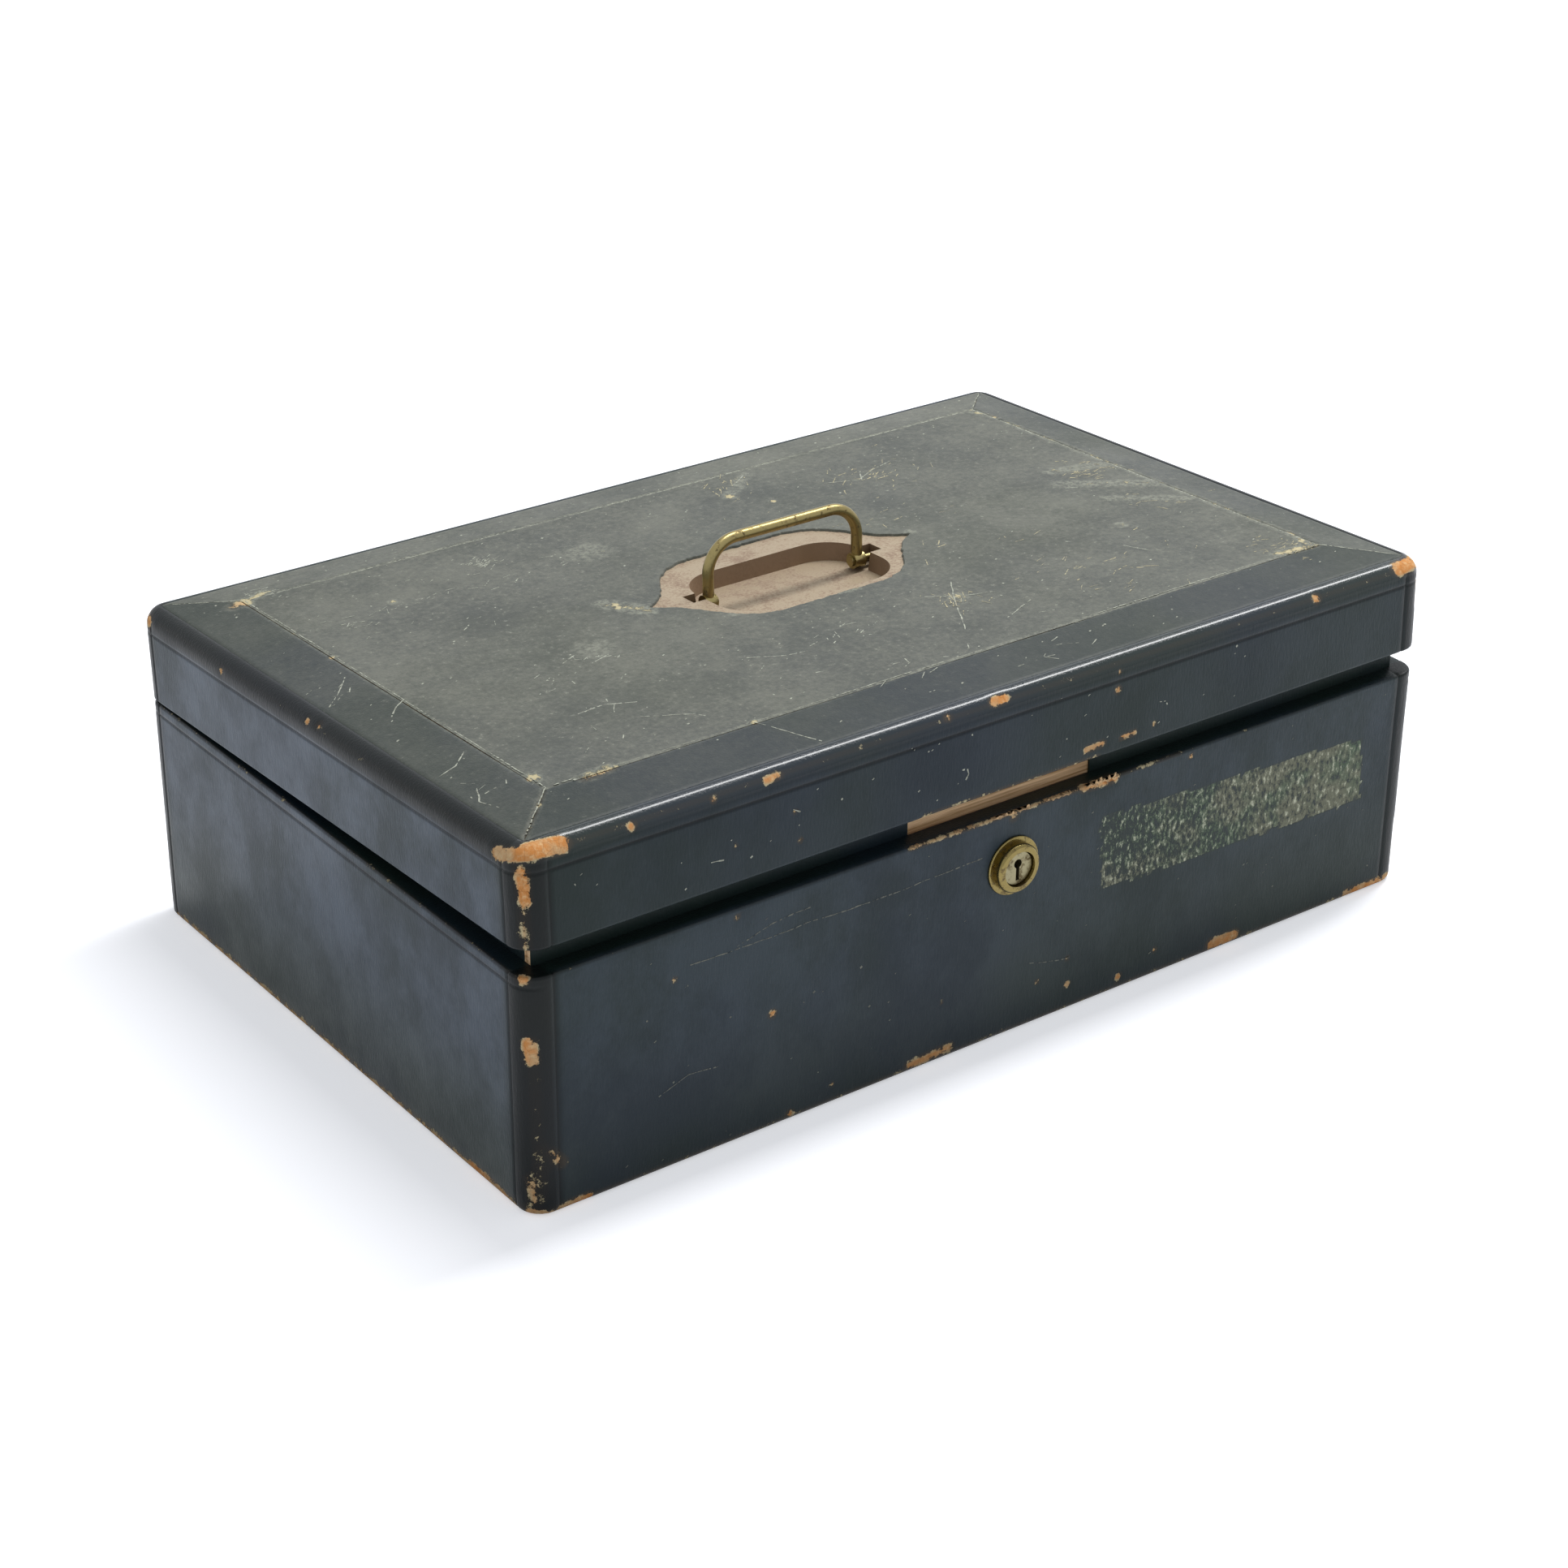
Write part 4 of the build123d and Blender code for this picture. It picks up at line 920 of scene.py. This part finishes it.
class WRITINGBOX_OT_body_cover(bpy.types.Operator):
    """Leather round the body: turned under the base, up the walls and over the rim to the liners"""
    bl_idname = "writing_box.body_cover"
    bl_label = "Body Cover"

    def execute(self, context):
        leather = context.scene.box_leather
        spacing = leather.panel_mesh / MM
        rim_line = BODY_HEIGHT - 4.0
        pocket_floor = BODY_HEIGHT - LEAF_THICKNESS
        wall = places(BASE_ROUND, BODY_HEIGHT - RIM_ROUND, spacing, (rim_line,))
        wall = sorted(wall + [pocket_floor])
        profile = [(BASE_TURN_IN, 0), (BASE_TURN_IN / 2, 0)]
        profile += quarter_turn((BASE_ROUND, BASE_ROUND), BASE_ROUND, -90)
        profile += [(0, z) for z in wall[1:-1]]
        profile += quarter_turn((RIM_ROUND, BODY_HEIGHT - RIM_ROUND), RIM_ROUND, 0, 3)
        profile += [(LEAF_INSET / 2, BODY_HEIGHT), (LEAF_INSET, BODY_HEIGHT), (LINER_INSET, BODY_HEIGHT)]
        x_places, y_places = wall_places(spacing)
        rows = [rounded_ring(inset, z, x_places, y_places) for inset, z in profile]

        def from_line(p):
            beside = [math.inf if p.y < 1 - HALF_DEPTH else p.z - rim_line]
            if abs(p.y) > HALF_DEPTH - 1:
                beside.append(abs(p.x) - TOOLED_X)
            if abs(p.x) > HALF_LENGTH - 1:
                beside.append(abs(p.y) - TOOLED_Y)
            return min(beside, key=abs)

        def lift(p):
            flat = 1 if BASE_ROUND < p.z < BODY_HEIGHT - RIM_ROUND - 1 else 0
            return groove(from_line(p), leather) + flat * swell(p, leather)

        def keep(p):
            at_lock = p.y < 0 and math.hypot(p.x, p.z - LOCK_HEIGHT) < LOCK_HOLE
            return not (at_lock or beside_leaf(p) and p.z > pocket_floor)

        cover = skin("body_cover", rows, True, BODY_SCUFFS, lift=lift, keep=keep,
                     values={"label": self.label, "painted_sheen": side_painted_sheen, "handled": handled,
                             "tooled": lambda p: tooled(from_line(p), leather)})
        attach(cover, "box")
        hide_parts("body_leather")
        return {"FINISHED"}

    def label(self, p):
        """How much of the lost label is left: nothing outside its place, and more towards its right."""
        if p.y > -HALF_DEPTH + 1:
            return 0.0
        wander = 1.2 * noise.noise(Vector((p.x / 4, p.z / 4, 3)))
        x, z = p.x + wander, p.z + wander
        for (ax, az), (bx, bz) in zip(LABEL_CORNERS, LABEL_CORNERS[1:] + LABEL_CORNERS[:1]):
            if (bx - ax) * (z - az) - (bz - az) * (x - ax) > 0:
                return 0.0
        left, right = LABEL_CORNERS[0][0], LABEL_CORNERS[1][0]
        return 0.8 + 0.12 * (x - left) / (right - left)


class WRITINGBOX_OT_lid_side_cover(bpy.types.Operator):
    """Leather round the lid: in under its rim, up the walls and over the rounded top edge"""
    bl_idname = "writing_box.lid_side_cover"
    bl_label = "Lid Side Cover"

    def execute(self, context):
        leather = context.scene.box_leather
        spacing = leather.panel_mesh / MM
        tooled_line = LID_EDGE - TOOLED_BELOW_TOP
        pocket_top = LID_RIM + LEAF_THICKNESS
        wall = places(LID_RIM + RIM_ROUND, LID_EDGE - LID_EDGE_ROUND, spacing, (tooled_line,))
        wall = sorted(wall + [pocket_top])
        profile = [(LID_MOUTH_INSET, LID_RIM + LEATHER), (LID_MOUTH_INSET, LID_RIM)]
        profile += [(LEAF_INSET, LID_RIM), (LEAF_INSET / 2, LID_RIM)]
        profile += quarter_turn((RIM_ROUND, LID_RIM + RIM_ROUND), RIM_ROUND, -90, 3)
        profile += [(0, z) for z in wall[1:-1]]
        profile += quarter_turn((LID_EDGE_ROUND, LID_EDGE - LID_EDGE_ROUND), LID_EDGE_ROUND, 0, 9)
        profile += [(LID_EDGE_ROUND + 0.4, LID_EDGE - 0.5)]
        x_places, y_places = wall_places(spacing)
        rows = [rounded_ring(inset, z, x_places, y_places) for inset, z in profile]

        def from_line(p):
            beside = [p.z - tooled_line]
            if p.z < LID_EDGE - LID_EDGE_ROUND and abs(p.y) > HALF_DEPTH - 1:
                beside.append(abs(p.x) - TOOLED_X)
            if p.z < LID_EDGE - LID_EDGE_ROUND and abs(p.x) > HALF_LENGTH - 1:
                beside.append(abs(p.y) - TOOLED_Y)
            return min(beside, key=abs)

        def lift(p):
            flat = 1 if LID_RIM + 2 < p.z < LID_EDGE - 2 else 0
            return groove(from_line(p), leather) + flat * swell(p, leather)

        def keep(p):
            return not (beside_leaf(p) and p.z < pocket_top)

        def polish(p):
            side = 1.0 if p.y < -HALF_DEPTH + CORNER_RADIUS else 0.1
            return side * clamped((p.z - LID_EDGE + LID_EDGE_ROUND) / 2)

        cover = skin(
            "lid_side_cover", rows, True, LID_SCUFFS, lift=lift, placed=ajar, keep=keep,
            values={"painted_sheen": side_painted_sheen, "polish": polish, "handled": handled,
                    "tooled": lambda p: tooled(from_line(p), leather)})
        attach(cover, "lid")
        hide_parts("lid_side_leather")
        return {"FINISHED"}


class WRITINGBOX_OT_border_covers(bpy.types.Operator):
    """Four mitred strips of leather on the lid's sloping border"""
    bl_idname = "writing_box.border_covers"
    bl_label = "Border Covers"

    def execute(self, context):
        leather = context.scene.box_leather
        wide = (HALF_LENGTH - LID_EDGE_ROUND, HALF_DEPTH - LID_EDGE_ROUND)
        narrow = (PANEL_HALF_LENGTH, PANEL_HALF_DEPTH)
        corners = {"front": (-1, -1), "right": (1, -1), "back": (1, 1), "left": (-1, 1)}
        # painted light: each strip's rubbed grey also stands for the light on its slope, lightest on the
        # back strip and darkest on the front one
        rubbed = {"front": 0.3, "right": 0.7, "back": 1.0, "left": 0.44}
        sides = list(corners)
        for side, after in zip(sides, sides[1:] + sides[:1]):
            (ax, ay), (bx, by) = corners[side], corners[after]
            outer = Vector((ax * wide[0], ay * wide[1])), Vector((bx * wide[0], by * wide[1]))
            inner = Vector((ax * narrow[0], ay * narrow[1])), Vector((bx * narrow[0], by * narrow[1]))
            self.strip(side, outer, inner, leather, rubbed[side])
        return {"FINISHED"}

    def strip(self, side, outer, inner, leather, rubbed):
        """One strip, whose edges dip into its seams."""
        length = (outer[1] - outer[0]).length
        spacing = leather.panel_mesh / MM
        across, along = (
            [0, SEAM_WIDTH] + places(SEAM_WIDTH, end - SEAM_WIDTH, spacing)[1:] + [end]
            for end in (BORDER_WIDTH, length))
        rows = []
        for v in across:
            start = outer[0].lerp(inner[0], v / BORDER_WIDTH)
            end = outer[1].lerp(inner[1], v / BORDER_WIDTH)
            row = []
            for u in along:
                flat = start.lerp(end, u / length)
                at_seam = v in (0, BORDER_WIDTH) or u in (0, length)
                height = top_height(*flat) - (SEAM_DROP if at_seam else 0)
                row.append((flat.x, flat.y, height))
            rows.append(row)
        cover = skin(
            f"lid_border_cover_{side}", rows, False, LID_SCUFFS,
            lift=lambda p: swell(p, leather), placed=ajar,
            values={"rubbed": lambda p: rubbed})
        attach(cover, "lid")
        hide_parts(f"lid_border_{side}")


class WRITINGBOX_OT_panel_cover(bpy.types.Operator):
    """Leather of the raised panel, cut by hand round the handle's plate"""
    bl_idname = "writing_box.panel_cover"
    bl_label = "Panel Cover"

    def execute(self, context):
        leather = context.scene.box_leather
        spacing = leather.panel_mesh / MM
        cut = self.cut_line(leather)
        rim = self.rim_line(cut)
        reach = max(math.dist(a, b) for a, b in zip(cut, rim))
        count = round(reach / spacing)
        shares = [(i / count) ** 1.5 for i in range(count + 1)]
        rows = []
        for share in reversed(shares):
            seam_drop = SEAM_DROP if share == 1 else 0
            rows.append([
                (a[0] + (b[0] - a[0]) * share, a[1] + (b[1] - a[1]) * share, LID_PANEL - seam_drop)
                for a, b in zip(cut, rim)
            ])
        rows.append([(x, y, LID_PANEL - 0.25 * LEATHER) for x, y in self.drawn_in(cut, 0.995)])
        rows.append([(x, y, LID_PANEL - 1.1 * LEATHER) for x, y in self.drawn_in(cut, 0.99)])

        # the panel is rubbed grey all over, which also paints its sheen
        cover = skin("lid_panel_cover", rows, True, LID_SCUFFS + CUT_SCUFFS,
                     lift=lambda p: swell(p, leather), placed=ajar,
                     values={"rubbed": lambda p: 0.95})
        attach(cover, "lid")
        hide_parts("lid_panel_leather")
        return {"FINISHED"}

    def cut_line(self, leather):
        """The ragged cut, a little outside or inside the plate's own outline."""
        line = []
        for x, y in evenly(plate_outline(), CUT_POINTS):
            wander = noise.noise(Vector((x / 3.5, y / 3.5, 1))) + 0.6 * noise.noise(Vector((x, y, 2)))
            grow = 1 + (wander * leather.ragged / MM) / math.hypot(x, y)
            line.append((x * grow, HANDLE_Y + y * grow))
        return line

    def rim_line(self, cut):
        """The panel's edge straight out from each point of the cut, with its four corners kept."""
        line = []
        for x, y in cut:
            dx, dy = x, y - HANDLE_Y
            to_side = PANEL_HALF_LENGTH / abs(dx) if dx else math.inf
            to_end = (PANEL_HALF_DEPTH - math.copysign(HANDLE_Y, dy)) / abs(dy) if dy else math.inf
            out = min(to_side, to_end)
            line.append((dx * out, HANDLE_Y + dy * out))
        for corner_x in (-PANEL_HALF_LENGTH, PANEL_HALF_LENGTH):
            for corner_y in (-PANEL_HALF_DEPTH, PANEL_HALF_DEPTH):
                corner = (corner_x, corner_y)
                nearest = min(range(len(line)), key=lambda i: math.dist(line[i], corner))
                line[nearest] = corner
        return line

    def drawn_in(self, line, share):
        """The line drawn a little towards the plate's middle."""
        return [(x * share, HANDLE_Y + (y - HANDLE_Y) * share) for x, y in line]


class WRITINGBOX_OT_scratches(bpy.types.Operator):
    """Fine scratches and rubbed places in the leather, as ribbons that lie on it"""
    bl_idname = "writing_box.scratches"
    bl_label = "Scratches"

    def execute(self, context):
        leather = context.scene.box_leather
        pale = scratch_material("goatskin_grain_scored_pale", leather.rubbed, leather.scratch)
        yellow = scratch_material("goatskin_scored_to_the_fibre", leather.rubbed, leather.old_fibre)
        faint = scratch_material("goatskin_glaze_scored", leather.navy, leather.rubbed)
        wander = random.Random(leather.seed)

        def on_top(x, y):
            height = top_height(x, y)
            return Vector((x, y, height + swell((x, y, height), leather) + SCRATCH_LIFT))

        def on_front(x, z):
            place = (x, -HALF_DEPTH, z)
            return Vector((x, -HALF_DEPTH - swell(place, leather) - SCRATCH_LIFT, z))

        up, out = Vector((0, 0, 1)), Vector((0, -1, 0))
        top_pale, top_yellow = Ribbons(on_top, up, wander), Ribbons(on_top, up, wander)
        front, lid_front = Ribbons(on_front, out, wander), Ribbons(on_front, out, wander)
        for line in TOP_SCRATCHES:
            top_pale.scratch(line, leather.scratch_width / MM, 0.12)
        for line in self.seams():
            top_pale.scratch(line, leather.scratch_width / MM, 0.22)
        for x, y, reach, count, bearing in RUBS:
            ribbons = top_yellow if x > YELLOW_FROM else top_pale
            self.rub(ribbons, x, y, reach, count, bearing, leather.stroke_width / MM)
        self.specks(top_pale, *TOP_SPECKS, leather.scratch_width / MM)
        self.specks(front, *FRONT_SPECKS, leather.scratch_width / MM)
        self.specks(lid_front, *LID_FRONT_SPECKS, leather.stroke_width / MM)
        for line in FRONT_SCRATCHES:
            front.scratch(line, leather.stroke_width / MM, 0.1)
        for line in LID_FRONT_SCRATCHES:
            lid_front.scratch(line, leather.scratch_width / MM, 0.1)
        for ribbons, name, material, body, placed in (
                (top_pale, "pale_scratches_of_the_top", pale, "lid", ajar),
                (top_yellow, "yellow_scratches_of_the_top", yellow, "lid", ajar),
                (front, "scratches_of_the_front", faint, "box", None),
                (lid_front, "scratches_of_the_lid_front", pale, "lid", ajar)):
            made = ribbons.build(name, material, placed)
            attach(made, body)
        return {"FINISHED"}

    def seams(self):
        """Lines just inside the raised panel's edge and along the mitres, where the skin is rubbed thin."""
        x, y = PANEL_HALF_LENGTH - 0.9, PANEL_HALF_DEPTH - 0.9
        corners = [(-x, -y), (x, -y), (x, y), (-x, y)]
        sides = [[a, b] for a, b in zip(corners, corners[1:] + corners[:1])]
        reach = BORDER_WIDTH - 2
        mitres = [[(x, y), (x + math.copysign(reach, x), y + math.copysign(reach, y))] for x, y in corners]
        return sides + mitres

    def rub(self, ribbons, x, y, reach, count, bearing, width):
        """A rubbed place: many short strokes, mostly one way."""
        wander = ribbons.wander
        inside_x, inside_y = HALF_LENGTH - LID_EDGE_ROUND - 2, HALF_DEPTH - LID_EDGE_ROUND - 2
        for _ in range(count):
            middle_x, middle_y = wander.gauss(x, reach / 2), wander.gauss(y, reach / 2)
            outside = abs(middle_x) > inside_x or abs(middle_y) > inside_y
            if outside or self.on_plate(middle_x, middle_y):
                continue
            turn = math.radians(wander.gauss(bearing, 28))
            half = wander.uniform(0.5, 3.2)
            step_x, step_y = half * math.cos(turn), half * math.sin(turn)
            line = [(middle_x - step_x, middle_y - step_y), (middle_x + step_x, middle_y + step_y)]
            ribbons.scratch(line, width * wander.uniform(0.5, 1.1), 0.25)

    def specks(self, ribbons, low, high, count, width):
        """Tiny knocks, strewn between two corners of a surface."""
        wander = ribbons.wander
        for _ in range(count):
            x, y = (wander.uniform(*ends) for ends in zip(low, high))
            half = wander.uniform(0.15, 0.5)
            if not self.on_plate(x, y):
                ribbons.scratch([(x - half, y), (x + half, y + half)], width * wander.uniform(0.6, 1.6), 0)

    def on_plate(self, x, y):
        """Whether a place of the top is on the handle's plate or close to it."""
        from_middle = abs(x) / (PLATE_TIP[0] + 4) + abs(y - HANDLE_Y) / (2 * PLATE_FLAT[1])
        return from_middle < 1 and abs(y - HANDLE_Y) < PLATE_FLAT[1] + 3


class Ribbons:
    """Thin broken ribbons on one surface, gathered into one mesh."""

    def __init__(self, surface, normal, wander):
        self.surface, self.normal, self.wander = surface, normal, wander
        self.points, self.faces = [], []

    def scratch(self, line, width, broken, step=1.0):
        """A ribbon through the line's points; broken is the share of it that is missing."""
        path = []
        for (ax, ay), (bx, by) in zip(line, line[1:]):
            count = max(1, round(math.dist((ax, ay), (bx, by)) / step))
            path += [(ax + (bx - ax) * i / count, ay + (by - ay) * i / count) for i in range(count)]
        path = [self.strayed(*p) for p in path + [line[-1]]]
        for (ax, ay), (bx, by) in zip(path, path[1:]):
            if self.wander.random() < broken:
                continue
            a, b = self.surface(ax, ay), self.surface(bx, by)
            aside = (b - a).cross(self.normal).normalized() * width / 2 * self.wander.uniform(0.4, 1.2)
            first = len(self.points)
            self.points += [a - aside, a + aside, b + aside, b - aside]
            self.faces.append((first, first + 1, first + 2, first + 3))

    def strayed(self, x, y):
        """A place moved a little, so that no line is quite straight."""
        place = Vector((x / 6, y / 6, 5))
        return x + 0.35 * noise.noise(place), y + 0.35 * noise.noise(place + Vector((0, 0, 4)))

    def build(self, name, material, placed):
        """The mesh object of all ribbons."""
        mesh = bpy.data.meshes.new(name)
        mesh.from_pydata([(placed(p) if placed else p) * MM for p in self.points], [], self.faces)
        mesh.materials.append(material)
        return linked(name, mesh)


class WRITINGBOX_OT_torn_edges(bpy.types.Operator):
    """Small tongues of torn leather along the body's rim above the lock"""
    bl_idname = "writing_box.torn_edges"
    bl_label = "Torn Edges"

    def execute(self, context):
        leather = context.scene.box_leather
        wander = random.Random(leather.seed)
        points, faces = [], []
        for count, reach, widths, length in TONGUES:
            for _ in range(count):
                self.tongue(points, faces, wander, wander.uniform(*reach), wander.uniform(*widths), length)
        mesh = bpy.data.meshes.new("torn_edges")
        mesh.from_pydata([Vector(p) * MM for p in points], [], faces)
        mesh.polygons.foreach_set("use_smooth", [True] * len(faces))
        mesh.materials.append(torn_material(leather))
        made = linked("torn_edges", mesh)
        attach(made, "box")
        return {"FINISHED"}

    def tongue(self, points, faces, wander, x, width, length):
        """One tongue: its root flat on the rim, its tip curled up or down in front of the closed lid."""
        across = (-1, -0.4, 0.3, 1)
        steps, thick = 4, 0.35
        length *= wander.uniform(0.6, 1.3)
        lean, curl = wander.uniform(-0.6, 0.6), wander.uniform(-0.7, 1.0)
        first = len(points)
        for i in range(steps + 1):
            share = i / steps
            half = width / 2 * (1 - 0.7 * share * share)
            curled = max(0.0, 2 * share - 1)
            y = -HALF_DEPTH + 1.2 - 1.7 * min(1.0, 2 * share) - 0.2 * curled
            z = BODY_HEIGHT + 0.05 + length * curl * curled ** 2
            for side, lower in [(s, 0) for s in across] + [(s, 1) for s in reversed(across)]:
                ragged = wander.uniform(-0.25, 0.25)
                points.append((x + lean * share + side * half + ragged, y + ragged / 2, z - lower * thick))
        ring = 2 * len(across)
        for i in range(steps):
            for j in range(ring):
                a, b = first + i * ring + j, first + i * ring + (j + 1) % ring
                faces.append((a, a + ring, b + ring, b))
        faces.append(tuple(first + j for j in range(ring)))
        faces.append(tuple(first + steps * ring + j for j in reversed(range(ring))))


class WRITINGBOX_OT_lip_leather(bpy.types.Operator):
    """Leather of the lip, of the base and of the parts that the covers leave as they are"""
    bl_idname = "writing_box.lip_leather"
    bl_label = "Lip and Base Leather"

    def execute(self, context):
        names = [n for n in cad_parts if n.startswith("lip_leather")] + ["base_leather"]
        paint(names, shared_leather(context.scene))
        return {"FINISHED"}


class WRITINGBOX_OT_woodwork(bpy.types.Operator):
    """Bare wood of the boards, rails, liners and lip"""
    bl_idname = "writing_box.woodwork"
    bl_label = "Woodwork"

    def execute(self, context):
        wood = context.scene.box_wood
        boards = [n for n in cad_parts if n.endswith(("_board", "_liner", "_rail"))]
        across = [n for n in boards if n.startswith(("left", "right", "lid_left", "lid_right"))]
        long_pine = wood_material("planed_pine_along_the_length", wood, True, wood.light, wood.dark)
        cross_pine = wood_material("planed_pine_across_the_depth", wood, False, wood.light, wood.dark)
        # painted light: a paler, lower-contrast copy of the pine for the shaded gap
        lit_bared = wood_material("pine_bared_by_torn_leather", wood, True, wood.lit_bared, wood.stained, 0.26)
        paint([n for n in boards if n not in across], long_pine)
        paint(across, cross_pine)
        paint(["front_liner"], lit_bared)
        return {"FINISHED"}


class WRITINGBOX_OT_linings(bpy.types.Operator):
    """Lining paper inside the body and the lid"""
    bl_idname = "writing_box.linings"
    bl_label = "Linings"

    def execute(self, context):
        names = [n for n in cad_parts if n.endswith("_lining")]
        paint(names, lining_material(context.scene.box_lining))
        return {"FINISHED"}


class WRITINGBOX_OT_handle_finish(bpy.types.Operator):
    """Brass of the flush handle: plate, bail, pivot pins and screws"""
    bl_idname = "writing_box.handle_finish"
    bl_label = "Handle Finish"

    def execute(self, context):
        brass = context.scene.box_brass
        bail = brass_material("cast_brass_bail_handled", brass, brass.bright, brass.dull, 0.32, 0.16)
        paint(["handle_bail", "handle_pivot_pins"], bail)
        paint(["handle_plate", "handle_plate_screws"], plate_material(brass))
        return {"FINISHED"}


class WRITINGBOX_OT_lock_finish(bpy.types.Operator):
    """Brass of the lock: nozzle, plug, case, bolt and link plate"""
    bl_idname = "writing_box.lock_finish"
    bl_label = "Lock Finish"

    def execute(self, context):
        brass = context.scene.box_brass
        turned = brass_material("turned_brass_lock_rubbed", brass, brass.lock, brass.dull, 0.22, 0.26)
        greyed = brass_material("turned_brass_plug_greyed", brass, brass.plug, brass.dull, 0.36, 0.3)
        rolled = brass_material("rolled_brass_lock_case", brass, brass.bright, brass.dull, 0.42, 0.25)
        paint(["lock_nozzle"], turned)
        paint(["lock_plug"], greyed)
        inner = ["lock_case", "lock_cap", "lock_bolt", "link_plate"]
        inner += ["lock_case_screws", "lock_cap_screws", "link_plate_screws"]
        paint(inner, rolled)
        return {"FINISHED"}


class WRITINGBOX_OT_hinge_finish(bpy.types.Operator):
    """Brass leaves and screws and steel pins of the two hinges"""
    bl_idname = "writing_box.hinge_finish"
    bl_label = "Hinge Finish"

    def execute(self, context):
        brass = context.scene.box_brass
        hinges = [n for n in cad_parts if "hinge" in n]
        pins = [n for n in hinges if n.endswith("_pin")]
        leaves = brass_material("rolled_brass_hinge_leaf", brass, brass.bright, brass.dull, 0.4, 0.3)
        paint([n for n in hinges if n not in pins], leaves)
        paint(pins, steel_material())
        return {"FINISHED"}


class WRITINGBOX_OT_stage(bpy.types.Operator):
    """Pale floor, soft lights and the camera"""
    bl_idname = "writing_box.stage"
    bl_label = "Stage"

    def execute(self, context):
        stage = context.scene.box_stage
        self.floor(stage)
        self.world(context.scene, stage)
        self.lamp("long_soft_lamp", stage.lamp_power)
        self.camera(context.scene, stage)
        return {"FINISHED"}

    def floor(self, stage):
        """A square of paper in a grid of cells, just under the box."""
        count = FLOOR_CELLS + 1
        side = [-FLOOR_REACH + 2 * FLOOR_REACH * i / FLOOR_CELLS for i in range(count)]
        points = [(x, y, -FLOOR_DROP) for y in side for x in side]
        corners = [r * count + c for r in range(FLOOR_CELLS) for c in range(FLOOR_CELLS)]
        faces = [(first, first + 1, first + count + 1, first + count) for first in corners]
        mesh = bpy.data.meshes.new("floor")
        mesh.from_pydata(points, [], faces)
        mesh.materials.append(floor_material(stage))
        floor = linked("floor", mesh)

    def world(self, scene, stage):
        """Even light from all round, seen as white by the camera and in reflections."""
        world = bpy.data.worlds.new("soft_white_room")
        world.use_nodes = True
        tree = world.node_tree
        tree.nodes.clear()
        strength = node(tree, "MapRange", {
            "Value": seen_or_mirrored(tree), "To Min": stage.world_light, "To Max": 1.0})
        light = node(tree, "Background", {"Color": to_linear("f7faff"), "Strength": strength.outputs[0]})
        output = node(tree, "OutputWorld")
        tree.links.new(light.outputs[0], output.inputs[0])
        scene.world = world
        scene.view_settings.view_transform = "Standard"

    def lamp(self, name, power):
        """A long lamp that lies along the box and leans towards its middle line."""
        light = bpy.data.lights.new(name, "AREA")
        light.shape, light.energy = "RECTANGLE", power
        light.size, light.size_y = LAMP_SIZE
        lamp = linked(name, light)
        lamp.location = LAMP_PLACE
        _, behind, above = LAMP_PLACE
        lamp.rotation_euler.x = -math.atan2(behind, above)

    def camera(self, scene, stage):
        """The camera at the height and side from which the box was seen."""
        data = bpy.data.cameras.new("camera")
        data.lens, data.sensor_width = stage.lens, SENSOR_WIDTH
        camera = linked("camera", data)
        right, up = Vector(CAMERA_RIGHT), Vector(CAMERA_UP)
        turn = Matrix((right, up, right.cross(up))).transposed().to_4x4()
        camera.matrix_world = Matrix.Translation(CAMERA_PLACE) @ turn
        scene.camera = camera


OPERATORS = (
    WRITINGBOX_OT_stage,
    WRITINGBOX_OT_body_cover,
    WRITINGBOX_OT_lid_side_cover,
    WRITINGBOX_OT_border_covers,
    WRITINGBOX_OT_panel_cover,
    WRITINGBOX_OT_scratches,
    WRITINGBOX_OT_torn_edges,
    WRITINGBOX_OT_lip_leather,
    WRITINGBOX_OT_woodwork,
    WRITINGBOX_OT_linings,
    WRITINGBOX_OT_handle_finish,
    WRITINGBOX_OT_lock_finish,
    WRITINGBOX_OT_hinge_finish,
)
SETTINGS = {
    "box_leather": LeatherSettings,
    "box_label": LabelSettings,
    "box_brass": BrassSettings,
    "box_wood": WoodSettings,
    "box_lining": LiningSettings,
    "box_stage": StageSettings,
}


class WRITINGBOX_PT_panel(bpy.types.Panel):
    """Lists the box's pieces"""
    bl_idname = "WRITINGBOX_PT_panel"
    bl_label = "Writing Box"
    bl_space_type = "VIEW_3D"
    bl_region_type = "UI"
    bl_category = "Writing Box"

    def draw(self, context):
        for operator in OPERATORS:
            self.layout.operator(operator.bl_idname)


def register():
    for group in SETTINGS.values():
        bpy.utils.register_class(group)
    for name, group in SETTINGS.items():
        setattr(bpy.types.Scene, name, PointerProperty(type=group))
    for operator in OPERATORS:
        bpy.utils.register_class(operator)
    bpy.utils.register_class(WRITINGBOX_PT_panel)


def unregister():
    bpy.utils.unregister_class(WRITINGBOX_PT_panel)
    for operator in reversed(OPERATORS):
        bpy.utils.unregister_class(operator)
    for name in SETTINGS:
        delattr(bpy.types.Scene, name)
    for group in reversed(SETTINGS.values()):
        bpy.utils.unregister_class(group)


def main():
    register()
    for operator in OPERATORS:
        group, name = operator.bl_idname.split(".")
        getattr(getattr(bpy.ops, group), name)()


if __name__ == "__main__":
    main()
